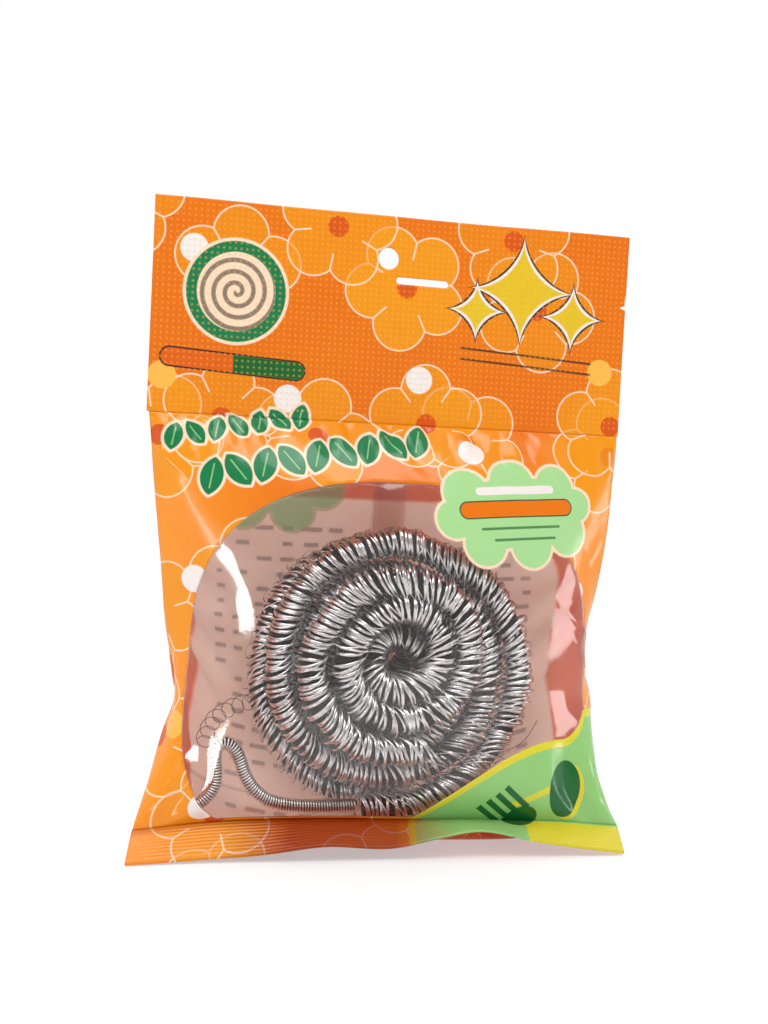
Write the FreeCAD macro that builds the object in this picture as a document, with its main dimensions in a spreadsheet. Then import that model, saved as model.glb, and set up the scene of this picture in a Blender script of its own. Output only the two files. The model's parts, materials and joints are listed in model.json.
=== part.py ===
import FreeCAD, Part
import math
import os

import Sketcher

V = FreeCAD.Vector

doc = FreeCAD.newDocument("packed_scrubber")
sheet = doc.addObject("Spreadsheet::Sheet", "sizes")

# Lengths in mm. X runs to the right across the pouch, the front faces -Y and Z is up.
LENGTHS = {
    "bag_width": 150.0,
    "headroom": 32.4,
    "header_height": 64.0,
    "film": 0.3,
    "belly_width": 132.0,
    "belly_depth": 27.0,
    "base_depth": 37.0,
    "seam_shift": 16.0,
    "arch_width": 90.0,
    "arch_height": 5.0,
    "window_width": 120.0,
    "window_drop": 17.0,
    "window_bottom": 12.0,
    "fin_width": 10.0,
    "fin_end_gap": 12.0,
    "hang_hole_diameter": 6.6,
    "hang_hole_drop": 13.0,
    "hang_hole_left": 3.6,
    "slot_start": 2.6,
    "slot_length": 17.0,
    "slot_width": 2.2,
    "slot_drop": 19.5,
    "notch_depth": 2.0,
    "notch_width": 1.6,
    "notch_drop": 22.5,
    "header_gap": 0.7,
    "strip_height": 9.5,
    "strip_reach": 7.5,
    "strip_gap": 0.3,
    "ball_diameter": 90.0,
    "ball_right": 3.0,
    "rope_diameter": 9.0,
    "rope_gap": 0.5,
    "seat_gap": 0.3,
    "spring_diameter": 4.0,
    "wire_diameter": 0.6,
    "curl_gap": 0.6,
    "bend_radius": 3.4,
}
for row, (alias, length) in enumerate(LENGTHS.items(), start=1):
    sheet.set(f"A{row}", alias)
    sheet.set(f"B{row}", str(length))
    sheet.setAlias(f"B{row}", alias)
doc.recompute()


class Size:
    """A length that knows its value and the sheet expression that it comes from."""

    def __init__(self, value, text):
        self.value = value
        self.text = text

    def __add__(self, other):
        other = as_size(other)
        return Size(self.value + other.value, f"({self.text} + {other.text})")

    def __sub__(self, other):
        other = as_size(other)
        return Size(self.value - other.value, f"({self.text} - {other.text})")

    def __mul__(self, share):
        return Size(self.value * share, f"({self.text} * {share})")

    def __truediv__(self, share):
        return Size(self.value / share, f"({self.text} / {share})")

    def __neg__(self):
        return Size(-self.value, f"(-{self.text})")


def as_size(length):
    return length if isinstance(length, Size) else Size(length, f"({length} mm)")


def size(alias):
    return Size(float(sheet.get(alias)), f"sizes.{alias}")


NOTHING = size("film") * 0

film = size("film")
bag_width = size("bag_width")
half_bag = bag_width / 2
half_belly = size("belly_width") / 2
arch_height = size("arch_height")
half_arch = size("arch_width") / 2
ball_foot = arch_height + film + size("seat_gap")
foot_height = ball_foot + size("ball_diameter") + size("headroom")
bag_height = foot_height + size("header_height")


def bind(thing, name, length):
    thing.setExpression(name, length.text)


def new_body(label):
    body = doc.addObject("PartDesign::Body", label)
    body.Label = label
    return body


def sketch_on(body, role, name, lift=None):
    """A sketch on one of the body's own origin planes, moved along the plane's normal by lift."""
    sketch = body.newObject("Sketcher::SketchObject", name)
    plane = next(part for part in body.Origin.OriginFeatures if part.Role == role)
    sketch.AttachmentSupport = [(plane, "")]
    sketch.MapMode = "FlatFace"
    if lift is not None:
        bind(sketch, "AttachmentOffset.Base.z", lift)
    return sketch


def flat(place):
    return V(place[0].value, place[1].value, 0)


def fix_point(sketch, geometry, ends, place):
    """Holds a sketch shape's end that lies at the place, by its number, there by two sizes."""
    end = min(ends, key=lambda number: (sketch.getPoint(geometry, number) - flat(place)).Length)
    for kind, length in zip(("DistanceX", "DistanceY"), place):
        index = sketch.addConstraint(Sketcher.Constraint(kind, geometry, end, length.value))
        bind(sketch, f"Constraints[{index}]", length)


def outline(sketch, runs):
    """A closed outline: each run starts at its place and goes straight, or by way of a middle place."""
    starts = [run[0] for run in runs]
    ends = starts[1:] + starts[:1]
    for run, end in zip(runs, ends):
        if len(run) == 1:
            edge = sketch.addGeometry(Part.LineSegment(flat(run[0]), flat(end)))
        else:
            edge = sketch.addGeometry(Part.ArcOfCircle(flat(run[0]), flat(run[1]), flat(end)))
        fix_point(sketch, edge, (1, 2), run[0])
        fix_point(sketch, edge, (1, 2), end)
        if len(run) > 1:
            middle = sketch.addGeometry(Part.Point(flat(run[1])), True)
            fix_point(sketch, middle, (1,), run[1])
            sketch.addConstraint(Sketcher.Constraint("PointOnObject", middle, 1, edge))


# Film panels. Each row is a level section of the pouch, from the floor to the foot of the header:
# height as a share of the foot height, width from the belly's (0) to the bag's (1), depth of the
# front as a share of the belly depth, of the back as shares of the belly depth and the base depth,
# and forward shift of the side folds.
LEVEL_SHARES = (
    (0.0, 0.66, 0.03, 0.0, 0.90, 0.85),
    (0.074, 1.0, 0.03, 0.0, 1.0, 1.0),
    (0.2, 0.39, 0.63, 0.12, 0.80, 0.5),
    (0.4, 0.0, 1.0, 1.0, 0.0, 0.0),
    (0.625, 0.39, 0.96, 0.96, 0.0, 0.0),
    (0.83, 0.76, 0.56, 0.56, 0.0, 0.0),
    (1.0, 1.0, 0.03, 0.03, 0.0, 0.0),
)


def level_sizes(row):
    """Half width, place of the side folds, and depths of the front and back of a level section."""
    height, width, front, back_belly, back_base, shift = row
    half = half_belly + (half_bag - half_belly) * width
    seam = -(size("seam_shift") * shift)
    back = size("belly_depth") * back_belly + size("base_depth") * back_base
    return half, seam, size("belly_depth") * front, back


def film_blank(label, side, lift):
    """A panel of film lofted through the level sections, lift away from the pouch's inside."""
    body = new_body(label)
    sections = []
    for number, row in enumerate(LEVEL_SHARES):
        half, seam, front, back = level_sizes(row)
        if side < 0:
            near = seam - lift
            far = near - film
            near_top = near - front
            far_top = far - front
        else:
            near = seam + lift
            far = near + film
            near_top = near + back
            far_top = far + back
        sketch = sketch_on(body, "XY_Plane", f"{label}_level_{number}", foot_height * row[0])
        outline(sketch, (
            ((-half, near), (NOTHING, near_top)),
            ((half, near),),
            ((half, far), (NOTHING, far_top)),
            ((-half, far),),
        ))
        sections.append(sketch)
    loft = body.newObject("PartDesign::AdditiveLoft", f"{label}_loft")
    loft.Profile = sections[0]
    loft.Sections = sections[1:]
    return body


def cutter(label, runs, plane="XZ_Plane"):
    """A prism that passes through the whole pouch from front to back."""
    body = new_body(label)
    sketch = sketch_on(body, plane, f"{label}_sketch")
    outline(sketch, runs)
    pad = body.newObject("PartDesign::Pad", f"{label}_pad")
    pad.Profile = sketch
    pad.Midplane = True
    bind(pad, "Length", bag_width)
    return body


def combine(kind, label, base, tool):
    """The cut or the common part of two objects, as an object of its own."""
    result = doc.addObject(f"Part::{kind}", label)
    result.Label = label
    result.Base = base
    result.Tool = tool
    return result


def box(label, x_from, x_to, z_from, z_to):
    return cutter(label, (
        ((x_from, z_from),), ((x_to, z_from),), ((x_to, z_to),), ((x_from, z_to),)))


# The bottom edge of the pouch is arched between two flat feet.
below = -arch_height
arch = cutter("arch_tunnel", (
    ((-half_arch, NOTHING), (NOTHING, arch_height)),
    ((half_arch, NOTHING),),
    ((half_arch, below),),
    ((-half_arch, below),),
))

# The window is a wide arch with a flat bottom.
half_window = size("window_width") / 2
window_top = foot_height - size("window_drop")
window_bottom = size("window_bottom")
window_height = window_top - window_bottom
WINDOW_SHOULDER_SHARE = 0.46
WINDOW_SIDE_SHARES = (0.93, 0.19)
WINDOW_FLAT_SHARE = 0.6
shoulder = window_bottom + window_height * WINDOW_SHOULDER_SHARE
side = half_window * WINDOW_SIDE_SHARES[0]
side_height = window_bottom + window_height * WINDOW_SIDE_SHARES[1]
half_flat = half_window * WINDOW_FLAT_SHARE
window = cutter("window_prism", (
    ((-half_window, shoulder), (NOTHING, window_top)),
    ((half_window, shoulder), (side, side_height)),
    ((half_flat, window_bottom),),
    ((-half_flat, window_bottom), (-side, side_height)),
))

front_blank = combine("Cut", "front_blank", film_blank("front_film", -1, NOTHING), arch)
front_panel = combine("Cut", "front_panel", front_blank, window)
window_film = combine("Common", "window_film", front_blank, window)

back_blank = combine("Cut", "back_blank", film_blank("back_film", 1, NOTHING), arch)
left_half = box("left_half", -bag_width, NOTHING, -bag_height, bag_height)
right_half = box("right_half", NOTHING, bag_width, -bag_height, bag_height)
back_panel_left = combine("Common", "back_panel_left", back_blank, left_half)
back_panel_right = combine("Common", "back_panel_right", back_blank, right_half)

fin_zone = box("fin_zone", NOTHING, size("fin_width"), size("fin_end_gap"), foot_height - film)
back_fin_seal = combine("Common", "back_fin_seal", film_blank("fin_film", 1, film), fin_zone)

# The film under the scrubber follows the arch and fills the pouch from fold to fold.
cavity = new_body("pouch_cavity")
cavity_sections = []
for number, row in enumerate(LEVEL_SHARES):
    half, seam, front, back = level_sizes(row)
    sketch = sketch_on(cavity, "XY_Plane", f"cavity_level_{number}", foot_height * row[0])
    outline(sketch, (
        ((-half, seam), (NOTHING, seam - front)),
        ((half, seam), (NOTHING, seam + back)),
    ))
    cavity_sections.append(sketch)
cavity_loft = cavity.newObject("PartDesign::AdditiveLoft", "cavity_loft")
cavity_loft.Profile = cavity_sections[0]
cavity_loft.Sections = cavity_sections[1:]

bottom_slab = cutter("bottom_slab", (
    ((-half_bag, NOTHING),),
    ((-half_arch, NOTHING), (NOTHING, arch_height)),
    ((half_arch, NOTHING),),
    ((half_bag, NOTHING),),
    ((half_bag, film),),
    ((half_arch, film), (NOTHING, arch_height + film)),
    ((-half_arch, film),),
    ((-half_bag, film),),
))
bottom_panel = combine("Common", "bottom_panel", cavity, bottom_slab)


def pad_on(body, sketch, length, reverse=False):
    pad = body.newObject("PartDesign::Pad", f"{sketch.Name}_pad")
    pad.Profile = sketch
    pad.Reversed = reverse
    bind(pad, "Length", length)
    return pad


def pocket_through(body, sketch):
    pocket = body.newObject("PartDesign::Pocket", f"{sketch.Name}_pocket")
    pocket.Profile = sketch
    pocket.Type = "ThroughAll"
    pocket.Midplane = True
    return pocket


def header_ply(label, reverse):
    """One of the two film layers of the header, with its hang hole, slot and tear notch."""
    body = new_body(label)
    header_foot = foot_height + size("header_gap")
    notch_middle = bag_height - size("notch_drop")
    half_notch = size("notch_width") / 2
    sheet_sketch = sketch_on(body, "XZ_Plane", f"{label}_sheet")
    outline(sheet_sketch, (
        ((-half_bag, header_foot),),
        ((half_bag, header_foot),),
        ((half_bag, notch_middle - half_notch),),
        ((half_bag - size("notch_depth"), notch_middle),),
        ((half_bag, notch_middle + half_notch),),
        ((half_bag, bag_height),),
        ((-half_bag, bag_height),),
    ))
    pad_on(body, sheet_sketch, film, reverse)

    hole_sketch = sketch_on(body, "XZ_Plane", f"{label}_hang_hole")
    hole_place = (-size("hang_hole_left"), bag_height - size("hang_hole_drop"))
    hole_radius = size("hang_hole_diameter") / 2
    hole = hole_sketch.addGeometry(Part.Circle(flat(hole_place), V(0, 0, 1), hole_radius.value))
    fix_point(hole_sketch, hole, (3,), hole_place)
    index = hole_sketch.addConstraint(Sketcher.Constraint("Radius", hole, hole_radius.value))
    bind(hole_sketch, f"Constraints[{index}]", hole_radius)
    pocket_through(body, hole_sketch)

    slot_sketch = sketch_on(body, "XZ_Plane", f"{label}_slot")
    half_slot = size("slot_width") / 2
    slot_middle = bag_height - size("slot_drop")
    slot_left = size("slot_start") - size("hang_hole_left") + half_slot
    slot_right = slot_left + size("slot_length") - size("slot_width")
    outline(slot_sketch, (
        ((slot_left, slot_middle - half_slot),),
        ((slot_right, slot_middle - half_slot), (slot_right + half_slot, slot_middle)),
        ((slot_right, slot_middle + half_slot),),
        ((slot_left, slot_middle + half_slot), (slot_left - half_slot, slot_middle)),
    ))
    pocket_through(body, slot_sketch)
    return body


header_front_ply = header_ply("header_front_ply", False)
header_back_ply = header_ply("header_back_ply", True)


def seal_ply(label, layer):
    """One film layer of the bottom strip, which slopes forward from the pouch to the floor."""
    half, seam, front, back = level_sizes(LEVEL_SHARES[1])
    body = new_body(f"{label}_blank")
    top_back = seam - front - film - size("strip_gap") - film * layer
    top_front = top_back - film
    reach = size("strip_reach")
    strip_height = size("strip_height")
    sketch = sketch_on(body, "YZ_Plane", f"{label}_profile")
    outline(sketch, (
        ((top_back, strip_height),),
        ((top_front, strip_height),),
        ((top_front - reach, NOTHING),),
        ((top_back - reach, NOTHING),),
    ))
    pad = pad_on(body, sketch, bag_width)
    pad.Midplane = True
    return combine("Cut", label, body, arch)


bottom_seal_back_ply = seal_ply("bottom_seal_back_ply", 0)
bottom_seal_front_ply = seal_ply("bottom_seal_front_ply", 1)


def arc_from(start, heading, end):
    """The arc, or the straight line, that leaves start along heading and reaches end."""
    chord = end - start
    lean = heading.getAngle(chord)
    if lean < STRAIGHT_LEAN_SHARE:
        return Part.LineSegment(start, end).toShape()
    towards = (V(heading).normalize() + V(chord).normalize()).normalize()
    middle = start + towards * (chord.Length / 2 / math.cos(lean / 2))
    return Part.Arc(start, middle, end).toShape()


def biarc(start, heading, end, arriving):
    """Two arcs that join two places smoothly, with the headings given there."""
    span = end - start
    both = heading + arriving
    square = 2 * (1 - heading.dot(arriving))
    along = span.dot(both)
    if square < STRAIGHT_LEAN_SHARE:
        arm = span.dot(span) / (2 * along)
    else:
        arm = (math.sqrt(along * along + square * span.dot(span)) - along) / square
    first_tip = start + heading * arm
    second_tip = end - arriving * arm
    joint = (first_tip + second_tip) * 0.5
    return [arc_from(start, heading, joint), arc_from(joint, second_tip - first_tip, end)]


STRAIGHT_LEAN_SHARE = 1e-6


def tube(edges, radius):
    """One unbroken round tube along a smooth chain of edges."""
    path = Part.Wire(Part.__sortEdges__(edges))
    first = edges[0]
    start = first.valueAt(first.FirstParameter)
    heading = first.tangentAt(first.FirstParameter)
    profile = Part.Wire(Part.Circle(start, heading, radius).toShape())
    return path.makePipeShell([profile], True, False)


def least_gap(edges, width, apart):
    """Least gap between parts of a tube that lie further apart along it than the length given."""
    points = []
    travelled = 0.0
    for edge in edges:
        count = max(3, int(edge.Length / (width * SAMPLE_SHARE)))
        for place in edge.discretize(count)[:-1]:
            points.append((travelled, place))
            travelled += edge.Length / (count - 1)
    cell = 2 * width
    cells = {}
    for number, (along, place) in enumerate(points):
        key = (int(place.x // cell), int(place.y // cell), int(place.z // cell))
        cells.setdefault(key, []).append(number)
    least = cell
    steps = (-1, 0, 1)
    for (column, depth, level), members in cells.items():
        near = [
            other
            for i in steps for j in steps for k in steps
            for other in cells.get((column + i, depth + j, level + k), ())
        ]
        for number in members:
            along, place = points[number]
            for other in near:
                if points[other][0] - along > apart:
                    least = min(least, (points[other][1] - place).Length)
    return least - width


SAMPLE_SHARE = 0.12

# Scrubber. Each coil starts at its outer end under the ball, winds in on a middle layer by half
# turns, climbs one layer in the innermost half turn and winds out again on the outer layer.
rope = size("rope_diameter").value
rope_pitch = rope + size("rope_gap").value
half_pitch = rope_pitch / 2
outer_radius = (size("ball_diameter").value - rope) / 2
ball_height = (ball_foot + size("ball_diameter") / 2).value
inner_y = -rope_pitch / 2
outer_y = inner_y - rope_pitch
CORE_SHARE = 0.75
STEEPEST_SHARE = 1.5
OUTER_TURNS_LESS = 3


def ball_place(down, right, depth):
    return V(size("ball_right").value + right, depth, ball_height - down)


turns_in = int((outer_radius - CORE_SHARE * rope) / half_pitch)
turns_in -= 1 - turns_in % 2
turns_out = turns_in - OUTER_TURNS_LESS
coil_edges = [Part.LineSegment(
    ball_place(outer_radius, -rope, inner_y), ball_place(outer_radius, 0, inner_y)).toShape()]
down = outer_radius
radius = outer_radius
right = 1
for turn in range(turns_in + 1 + turns_out):
    climbing = turn == turns_in
    depth = inner_y if turn <= turns_in else outer_y
    centre = down - right * radius
    landing = centre - right * radius
    start = ball_place(down, 0, depth)
    if climbing:
        end = ball_place(landing, 0, outer_y)
        side = ball_place(centre, right * radius, (inner_y + outer_y) / 2)
        steepest = V(0, -STEEPEST_SHARE * rope_pitch / (math.pi * radius), right).normalize()
        coil_edges += biarc(start, V(right, 0, 0), side, steepest)
        coil_edges += biarc(side, steepest, end, V(-right, 0, 0))
    else:
        side = ball_place(centre, right * radius, depth)
        coil_edges.append(Part.Arc(start, side, ball_place(landing, 0, depth)).toShape())
    down = landing
    right = -right
    radius += half_pitch if turn >= turns_in else -half_pitch
coil_edges.append(Part.LineSegment(
    ball_place(down, 0, outer_y), ball_place(down, right * rope, outer_y)).toShape())

coil_shape = tube(coil_edges, rope / 2)
scrubber_coil_front = doc.addObject("Part::Feature", "scrubber_coil_front")
scrubber_coil_front.Label = "scrubber_coil_front"
scrubber_coil_front.Shape = coil_shape
scrubber_coil_back = doc.addObject("Part::Feature", "scrubber_coil_back")
scrubber_coil_back.Label = "scrubber_coil_back"
scrubber_coil_back.Shape = coil_shape
scrubber_coil_back.Placement = FreeCAD.Placement(
    V(), FreeCAD.Rotation(V(0, 0, 1), 180), ball_place(0, 0, 0))
print("rope's least gap to itself", round(least_gap(coil_edges, rope, 2.5 * rope), 3))

# Hanging loop. Its route leaves the rope's end to the left, turns up into a narrow loop and ends
# in a short stub: places as shares of the ball's diameter, from the rope's end.
LOOP_ROUTE_SHARES = (
    (0.0, 0.0, 0.0),
    (-0.24, -0.008, -0.009),
    (-0.375, -0.012, 0.06),
    (-0.425, -0.012, 0.222),
    (-0.503, -0.012, 0.222),
    (-0.473, -0.014, 0.036),
    (-0.578, -0.018, -0.001),
)
spring_radius = (size("spring_diameter").value - size("wire_diameter").value) / 2
wire = size("wire_diameter").value
bend_radius = size("bend_radius").value
loop_start = ball_place(outer_radius, -rope - size("seat_gap").value - wire / 2, inner_y)
route = [loop_start + V(*place) * size("ball_diameter").value for place in LOOP_ROUTE_SHARES]


def rounded(places, radius):
    """The edges of a route with every corner rounded, each with its bend radius or None."""
    runs = []
    start = places[0]
    for before, corner, after in zip(places, places[1:], places[2:]):
        arriving = (corner - before).normalize()
        leaving = (after - corner).normalize()
        turn = arriving.getAngle(leaving)
        trim = radius * math.tan(turn / 2)
        bend_start = corner - arriving * trim
        bend_end = corner + leaving * trim
        runs.append((Part.LineSegment(start, bend_start).toShape(), None))
        runs.append((arc_from(bend_start, arriving, bend_end), radius))
        start = bend_end
    runs.append((Part.LineSegment(start, places[-1]).toShape(), None))
    return runs


CURL_STEPS = 48


def curl_places(runs):
    """Places along a close-wound wire; in a bend the curls keep their gap on the inside."""
    tight_pitch = wire + size("curl_gap").value
    side = None
    phase = 0.0
    places = []
    for edge, bend in runs:
        pitch = tight_pitch if bend is None else tight_pitch * bend / (bend - spring_radius)
        count = max(2, round(edge.Length / pitch * CURL_STEPS))
        first, last = edge.ParameterRange
        for step in range(count):
            parameter = first + (last - first) * step / count
            middle = edge.valueAt(parameter)
            heading = edge.tangentAt(parameter)
            if side is None:
                side = heading.cross(V(0, 0, 1))
            side = (side - heading * side.dot(heading)).normalize()
            over = heading.cross(side)
            places.append(middle + (side * math.cos(phase) + over * math.sin(phase)) * spring_radius)
            phase += 2 * math.pi * edge.Length / count / pitch
    print("curls", round(phase / 2 / math.pi, 1))
    return places


curl = curl_places(rounded(route, bend_radius))
stride = CURL_STEPS // 2
knots = range(1, len(curl) - 1, stride)
loop_edges = []
knot_places = [curl[i] for i in knots]
knot_headings = [(curl[i + 1] - curl[i - 1]).normalize() for i in knots]
loop_edges.append(Part.LineSegment(
    knot_places[0] - knot_headings[0] * wire, knot_places[0]).toShape())
for i in range(len(knot_places) - 1):
    loop_edges += biarc(knot_places[i], knot_headings[i], knot_places[i + 1], knot_headings[i + 1])
loop_edges.append(Part.LineSegment(
    knot_places[-1], knot_places[-1] + knot_headings[-1] * wire).toShape())
hanging_loop = doc.addObject("Part::Feature", "hanging_loop")
hanging_loop.Label = "hanging_loop"
hanging_loop.Shape = tube(loop_edges, wire / 2)
print("spring's least gap to itself", round(least_gap(loop_edges, wire, 2 * spring_radius), 3))

doc.recompute()

NODES = (
    front_panel, window_film, back_panel_left, back_panel_right, back_fin_seal, bottom_panel,
    header_front_ply, header_back_ply, bottom_seal_front_ply, bottom_seal_back_ply,
    scrubber_coil_front, scrubber_coil_back, hanging_loop,
)
for thing in doc.Objects:
    if "Invalid" in thing.State or "Error" in thing.State:
        raise RuntimeError(f"{thing.Label} did not build: {thing.State}")
os.makedirs("parts", exist_ok=True)
for node in NODES:
    shape = node.Shape
    if shape.isNull() or not shape.isValid() or len(shape.Solids) != 1:
        raise RuntimeError(f"{node.Label} is not one valid solid")
    shape.exportStep(f"parts/{node.Label}.step")
    box_mm = shape.optimalBoundingBox(False)
    print(node.Label, round(shape.Volume, 1), [round(v, 2) for v in (
        box_mm.XMin, box_mm.YMin, box_mm.ZMin, box_mm.XMax, box_mm.YMax, box_mm.ZMax)])
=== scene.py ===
import functools
import json
import math

import bpy
import numpy as np
from mathutils import Matrix, Vector


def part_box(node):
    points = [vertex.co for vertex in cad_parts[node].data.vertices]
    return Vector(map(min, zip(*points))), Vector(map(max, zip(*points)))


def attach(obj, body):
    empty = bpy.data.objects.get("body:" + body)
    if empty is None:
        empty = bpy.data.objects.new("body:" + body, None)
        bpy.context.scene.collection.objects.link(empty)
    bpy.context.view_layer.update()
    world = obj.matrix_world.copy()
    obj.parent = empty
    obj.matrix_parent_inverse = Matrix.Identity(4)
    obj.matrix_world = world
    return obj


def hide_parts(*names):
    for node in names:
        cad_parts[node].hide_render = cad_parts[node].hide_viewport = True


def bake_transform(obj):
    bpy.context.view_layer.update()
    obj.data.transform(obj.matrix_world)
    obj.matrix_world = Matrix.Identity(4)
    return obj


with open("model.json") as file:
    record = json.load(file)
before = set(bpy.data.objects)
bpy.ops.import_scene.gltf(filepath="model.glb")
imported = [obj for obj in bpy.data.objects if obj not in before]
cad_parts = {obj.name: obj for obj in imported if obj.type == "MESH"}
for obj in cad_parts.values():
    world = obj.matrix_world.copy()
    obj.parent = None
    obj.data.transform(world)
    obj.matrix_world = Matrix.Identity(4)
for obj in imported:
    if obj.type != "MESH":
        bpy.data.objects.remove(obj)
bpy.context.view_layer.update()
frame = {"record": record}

# A steel pot scrubber in a printed pillow pouch. Lengths are in millimetres until a mesh or a lamp
# is made. A place on a film is (u, v): across from its middle, and up from the bottom fold.
MM = 0.001
UV_MM = 100.0
TINY = 1e-9


# Sizes from the frame

def node_box(name):
    low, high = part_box(name)
    return np.array(low) / MM, np.array(high) / MM


def named(items, name):
    return next(item for item in items if item["name"] == name)


def place_of(item):
    """Where a joint or a mount lies."""
    return np.array(item["pos_m"]) / MM


joints = frame["record"]["behaviour"]["joints"]
header_low, header_high = node_box("header_front_ply")
coil_low, coil_high = node_box("scrubber_coil_front")
coil_left = node_box("scrubber_coil_back")[0][0]
strip_front = node_box("bottom_seal_front_ply")[0][1]
fin_width = node_box("back_fin_seal")[1][0]
foot = place_of(named(joints, "header_fold"))
fold = place_of(named(joints, "bottom_seal_fold"))
loop_pivot = place_of(named(joints, "loop_swing"))
loop_swing = math.radians(named(joints, "loop_swing")["range_deg"][1])
hang_hole = place_of(named(frame["record"]["mounts"], "hang_hole"))
half_width = header_high[0]
ply = -header_low[1]
strip_length = math.hypot(strip_front - fold[1], fold[2])
ball_size = coil_high[2] - coil_low[2]
ball_centre = np.array([(coil_left + coil_high[0]) / 2, 0, coil_low[2] + ball_size / 2])
ball_half_depth = -coil_low[1]

# Film sizes
FILM = 0.2
FRONT_MIDDLE_LENGTH = 127.0
FRONT_SIDE_LENGTH = 120.5
BACK_MIDDLE_LENGTH = 168.0
BACK_SIDE_LENGTH = 128.0
header_top = FRONT_MIDDLE_LENGTH + header_high[2] - foot[2]

# Scrubber and loop sizes
ROPE = 9.0
ROPE_GAP = 0.5
SPRING = 4.4
SPRING_WIRE = 0.6
SPRING_PITCH = 0.86
SEAT_GAP = 0.3
LOOP_ROUTE_SHARES = (
    (0.0, 0.0, 0.0), (-0.24, -0.008, -0.009), (-0.375, -0.012, 0.06), (-0.425, -0.012, 0.222),
    (-0.503, -0.012, 0.222), (-0.473, -0.014, 0.036), (-0.578, -0.018, -0.001))
ROUTE_FINENESS = 24
rope_pitch = ROPE + ROPE_GAP
outer_radius = (ball_size - ROPE) / 2
loop_start = ball_centre + np.array([-ROPE - SEAT_GAP - SPRING_WIRE / 2, -rope_pitch / 2, -outer_radius])


def smooth_route(name, start, shares):
    """Points along the smooth line that places steer, at shares of the scrubber's size from a start."""
    places = start + np.array(shares) * ball_size
    curve = bpy.data.curves.new(name, "CURVE")
    curve.dimensions = "3D"
    curve.resolution_u = ROUTE_FINENESS
    spline = curve.splines.new("NURBS")
    spline.points.add(len(places) - 1)
    for point, place in zip(spline.points, places):
        point.co = (*place, 1.0)
    spline.order_u = 3
    spline.use_endpoint_u = True
    holder = bpy.data.objects.new(name, curve)
    bpy.context.scene.collection.objects.link(holder)
    bpy.context.view_layer.update()
    graph = bpy.context.evaluated_depsgraph_get()
    mesh = bpy.data.meshes.new_from_object(holder.evaluated_get(graph))
    line = np.array([vertex.co for vertex in mesh.vertices], float)
    bpy.data.objects.remove(holder)
    bpy.data.curves.remove(curve)
    bpy.data.meshes.remove(mesh)
    return line


loop_line = smooth_route("loop_route", loop_start, LOOP_ROUTE_SHARES)

# Places on the loop that the films keep clear of, and the lowest places that its swing reaches
LOOP_CHECKS = 24
SWING_CHECKS = 60
LOW_LOOP_HEIGHT = 16.0
loop_places = loop_line[:: len(loop_line) // LOOP_CHECKS]
from_pivot = loop_line[:: len(loop_line) // SWING_CHECKS] - loop_pivot
swung_places = loop_pivot + np.stack([
    from_pivot[:, 0] * math.cos(loop_swing) - from_pivot[:, 2] * math.sin(loop_swing),
    from_pivot[:, 1],
    from_pivot[:, 2] * math.cos(loop_swing) + from_pivot[:, 0] * math.sin(loop_swing)], 1)
swung_places = swung_places[swung_places[:, 2] < LOW_LOOP_HEIGHT]


def unit(ways):
    """Directions of length 1."""
    return ways / np.linalg.norm(ways, axis=-1, keepdims=True)


def curve_through(pairs, at):
    """A smooth curve through given (place, value) pairs."""
    knots, values = np.array(pairs, float).T
    slopes = np.gradient(values, knots)
    span = np.clip(np.searchsorted(knots, at, side="right") - 1, 0, len(knots) - 2)
    width = knots[span + 1] - knots[span]
    t = (at - knots[span]) / width
    leaving = (2 * t**3 - 3 * t**2 + 1) * values[span] + (t**3 - 2 * t**2 + t) * width * slopes[span]
    arriving = (3 * t**2 - 2 * t**3) * values[span + 1] + (t**3 - t**2) * width * slopes[span + 1]
    return leaving + arriving


def wander(generator, count, every, size):
    """A smooth random row of numbers with a new one drawn at every so many places."""
    knots = np.arange(-every, count + 2 * every, every)
    draws = generator.normal(0, size, len(knots))
    return curve_through(np.stack([knots, draws], 1), np.arange(count))


# Film forms. The side seams and the bottom fold are given, and the film between them is a
# grid of points that keeps its flat lengths while it is blown out over the scrubber.
LEFT_SEAM_SHARES = (
    (0, 1), (0.105, 0.94), (0.206, 0.893), (0.337, 0.833), (0.412, 0.867), (0.644, 0.92), (1, 0.99))
RIGHT_SEAM_SHARES = (
    (0, 1), (0.1, 0.93), (0.315, 0.933), (0.442, 0.89), (0.526, 0.924), (0.7, 0.968), (1, 0.995))
SEAM_DEPTH_SHARES = ((0, 1), (0.135, 0.5), (0.35, 0), (0.7, 0), (1, 0))
FOLD_HEIGHT_SHARES = (
    (-1, 0.75), (-0.7, 1.0), (-0.35, 1.05), (0.15, 0.95), (0.4, 0.9), (0.75, 0.8), (1, 0.62))
FIRST_STEP = 3.0
SHEAR_STIFFNESS_SHARE = 0.5
BEND_STIFFNESS_SHARE = 0.4
WIDE_STIFFNESS_SHARE = 0.3
SPEED_KEPT_SHARE = 0.96
SWEEPS = 4
FIRST_ROUGHNESS = 0.15
BALL_MARGIN = 1.0
BALL_CORNER_POWER = 4
LOOP_MARGIN = 1.2
SWING_MARGIN = 1.2
FLOOR_CLEARANCE = 0.3
BASE_SHARE = 0.2
BASE_LEVEL = 1.4
BALL_LEAST_LEVEL = 0.4
SETTLE_STEPS = (250, 120)


def fold_height(across_share):
    return fold[2] * curve_through(FOLD_HEIGHT_SHARES, across_share)


def seam_line(up_share, shares, side):
    """Places on a side seam, from the bottom fold to the header's foot."""
    low = fold_height(np.array([side]))[0]
    x = side * half_width * curve_through(shares, up_share)
    y = fold[1] * curve_through(SEAM_DEPTH_SHARES, up_share)
    z = low + up_share * (foot[2] - low)
    return np.stack([x, y, z], -1)


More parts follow.
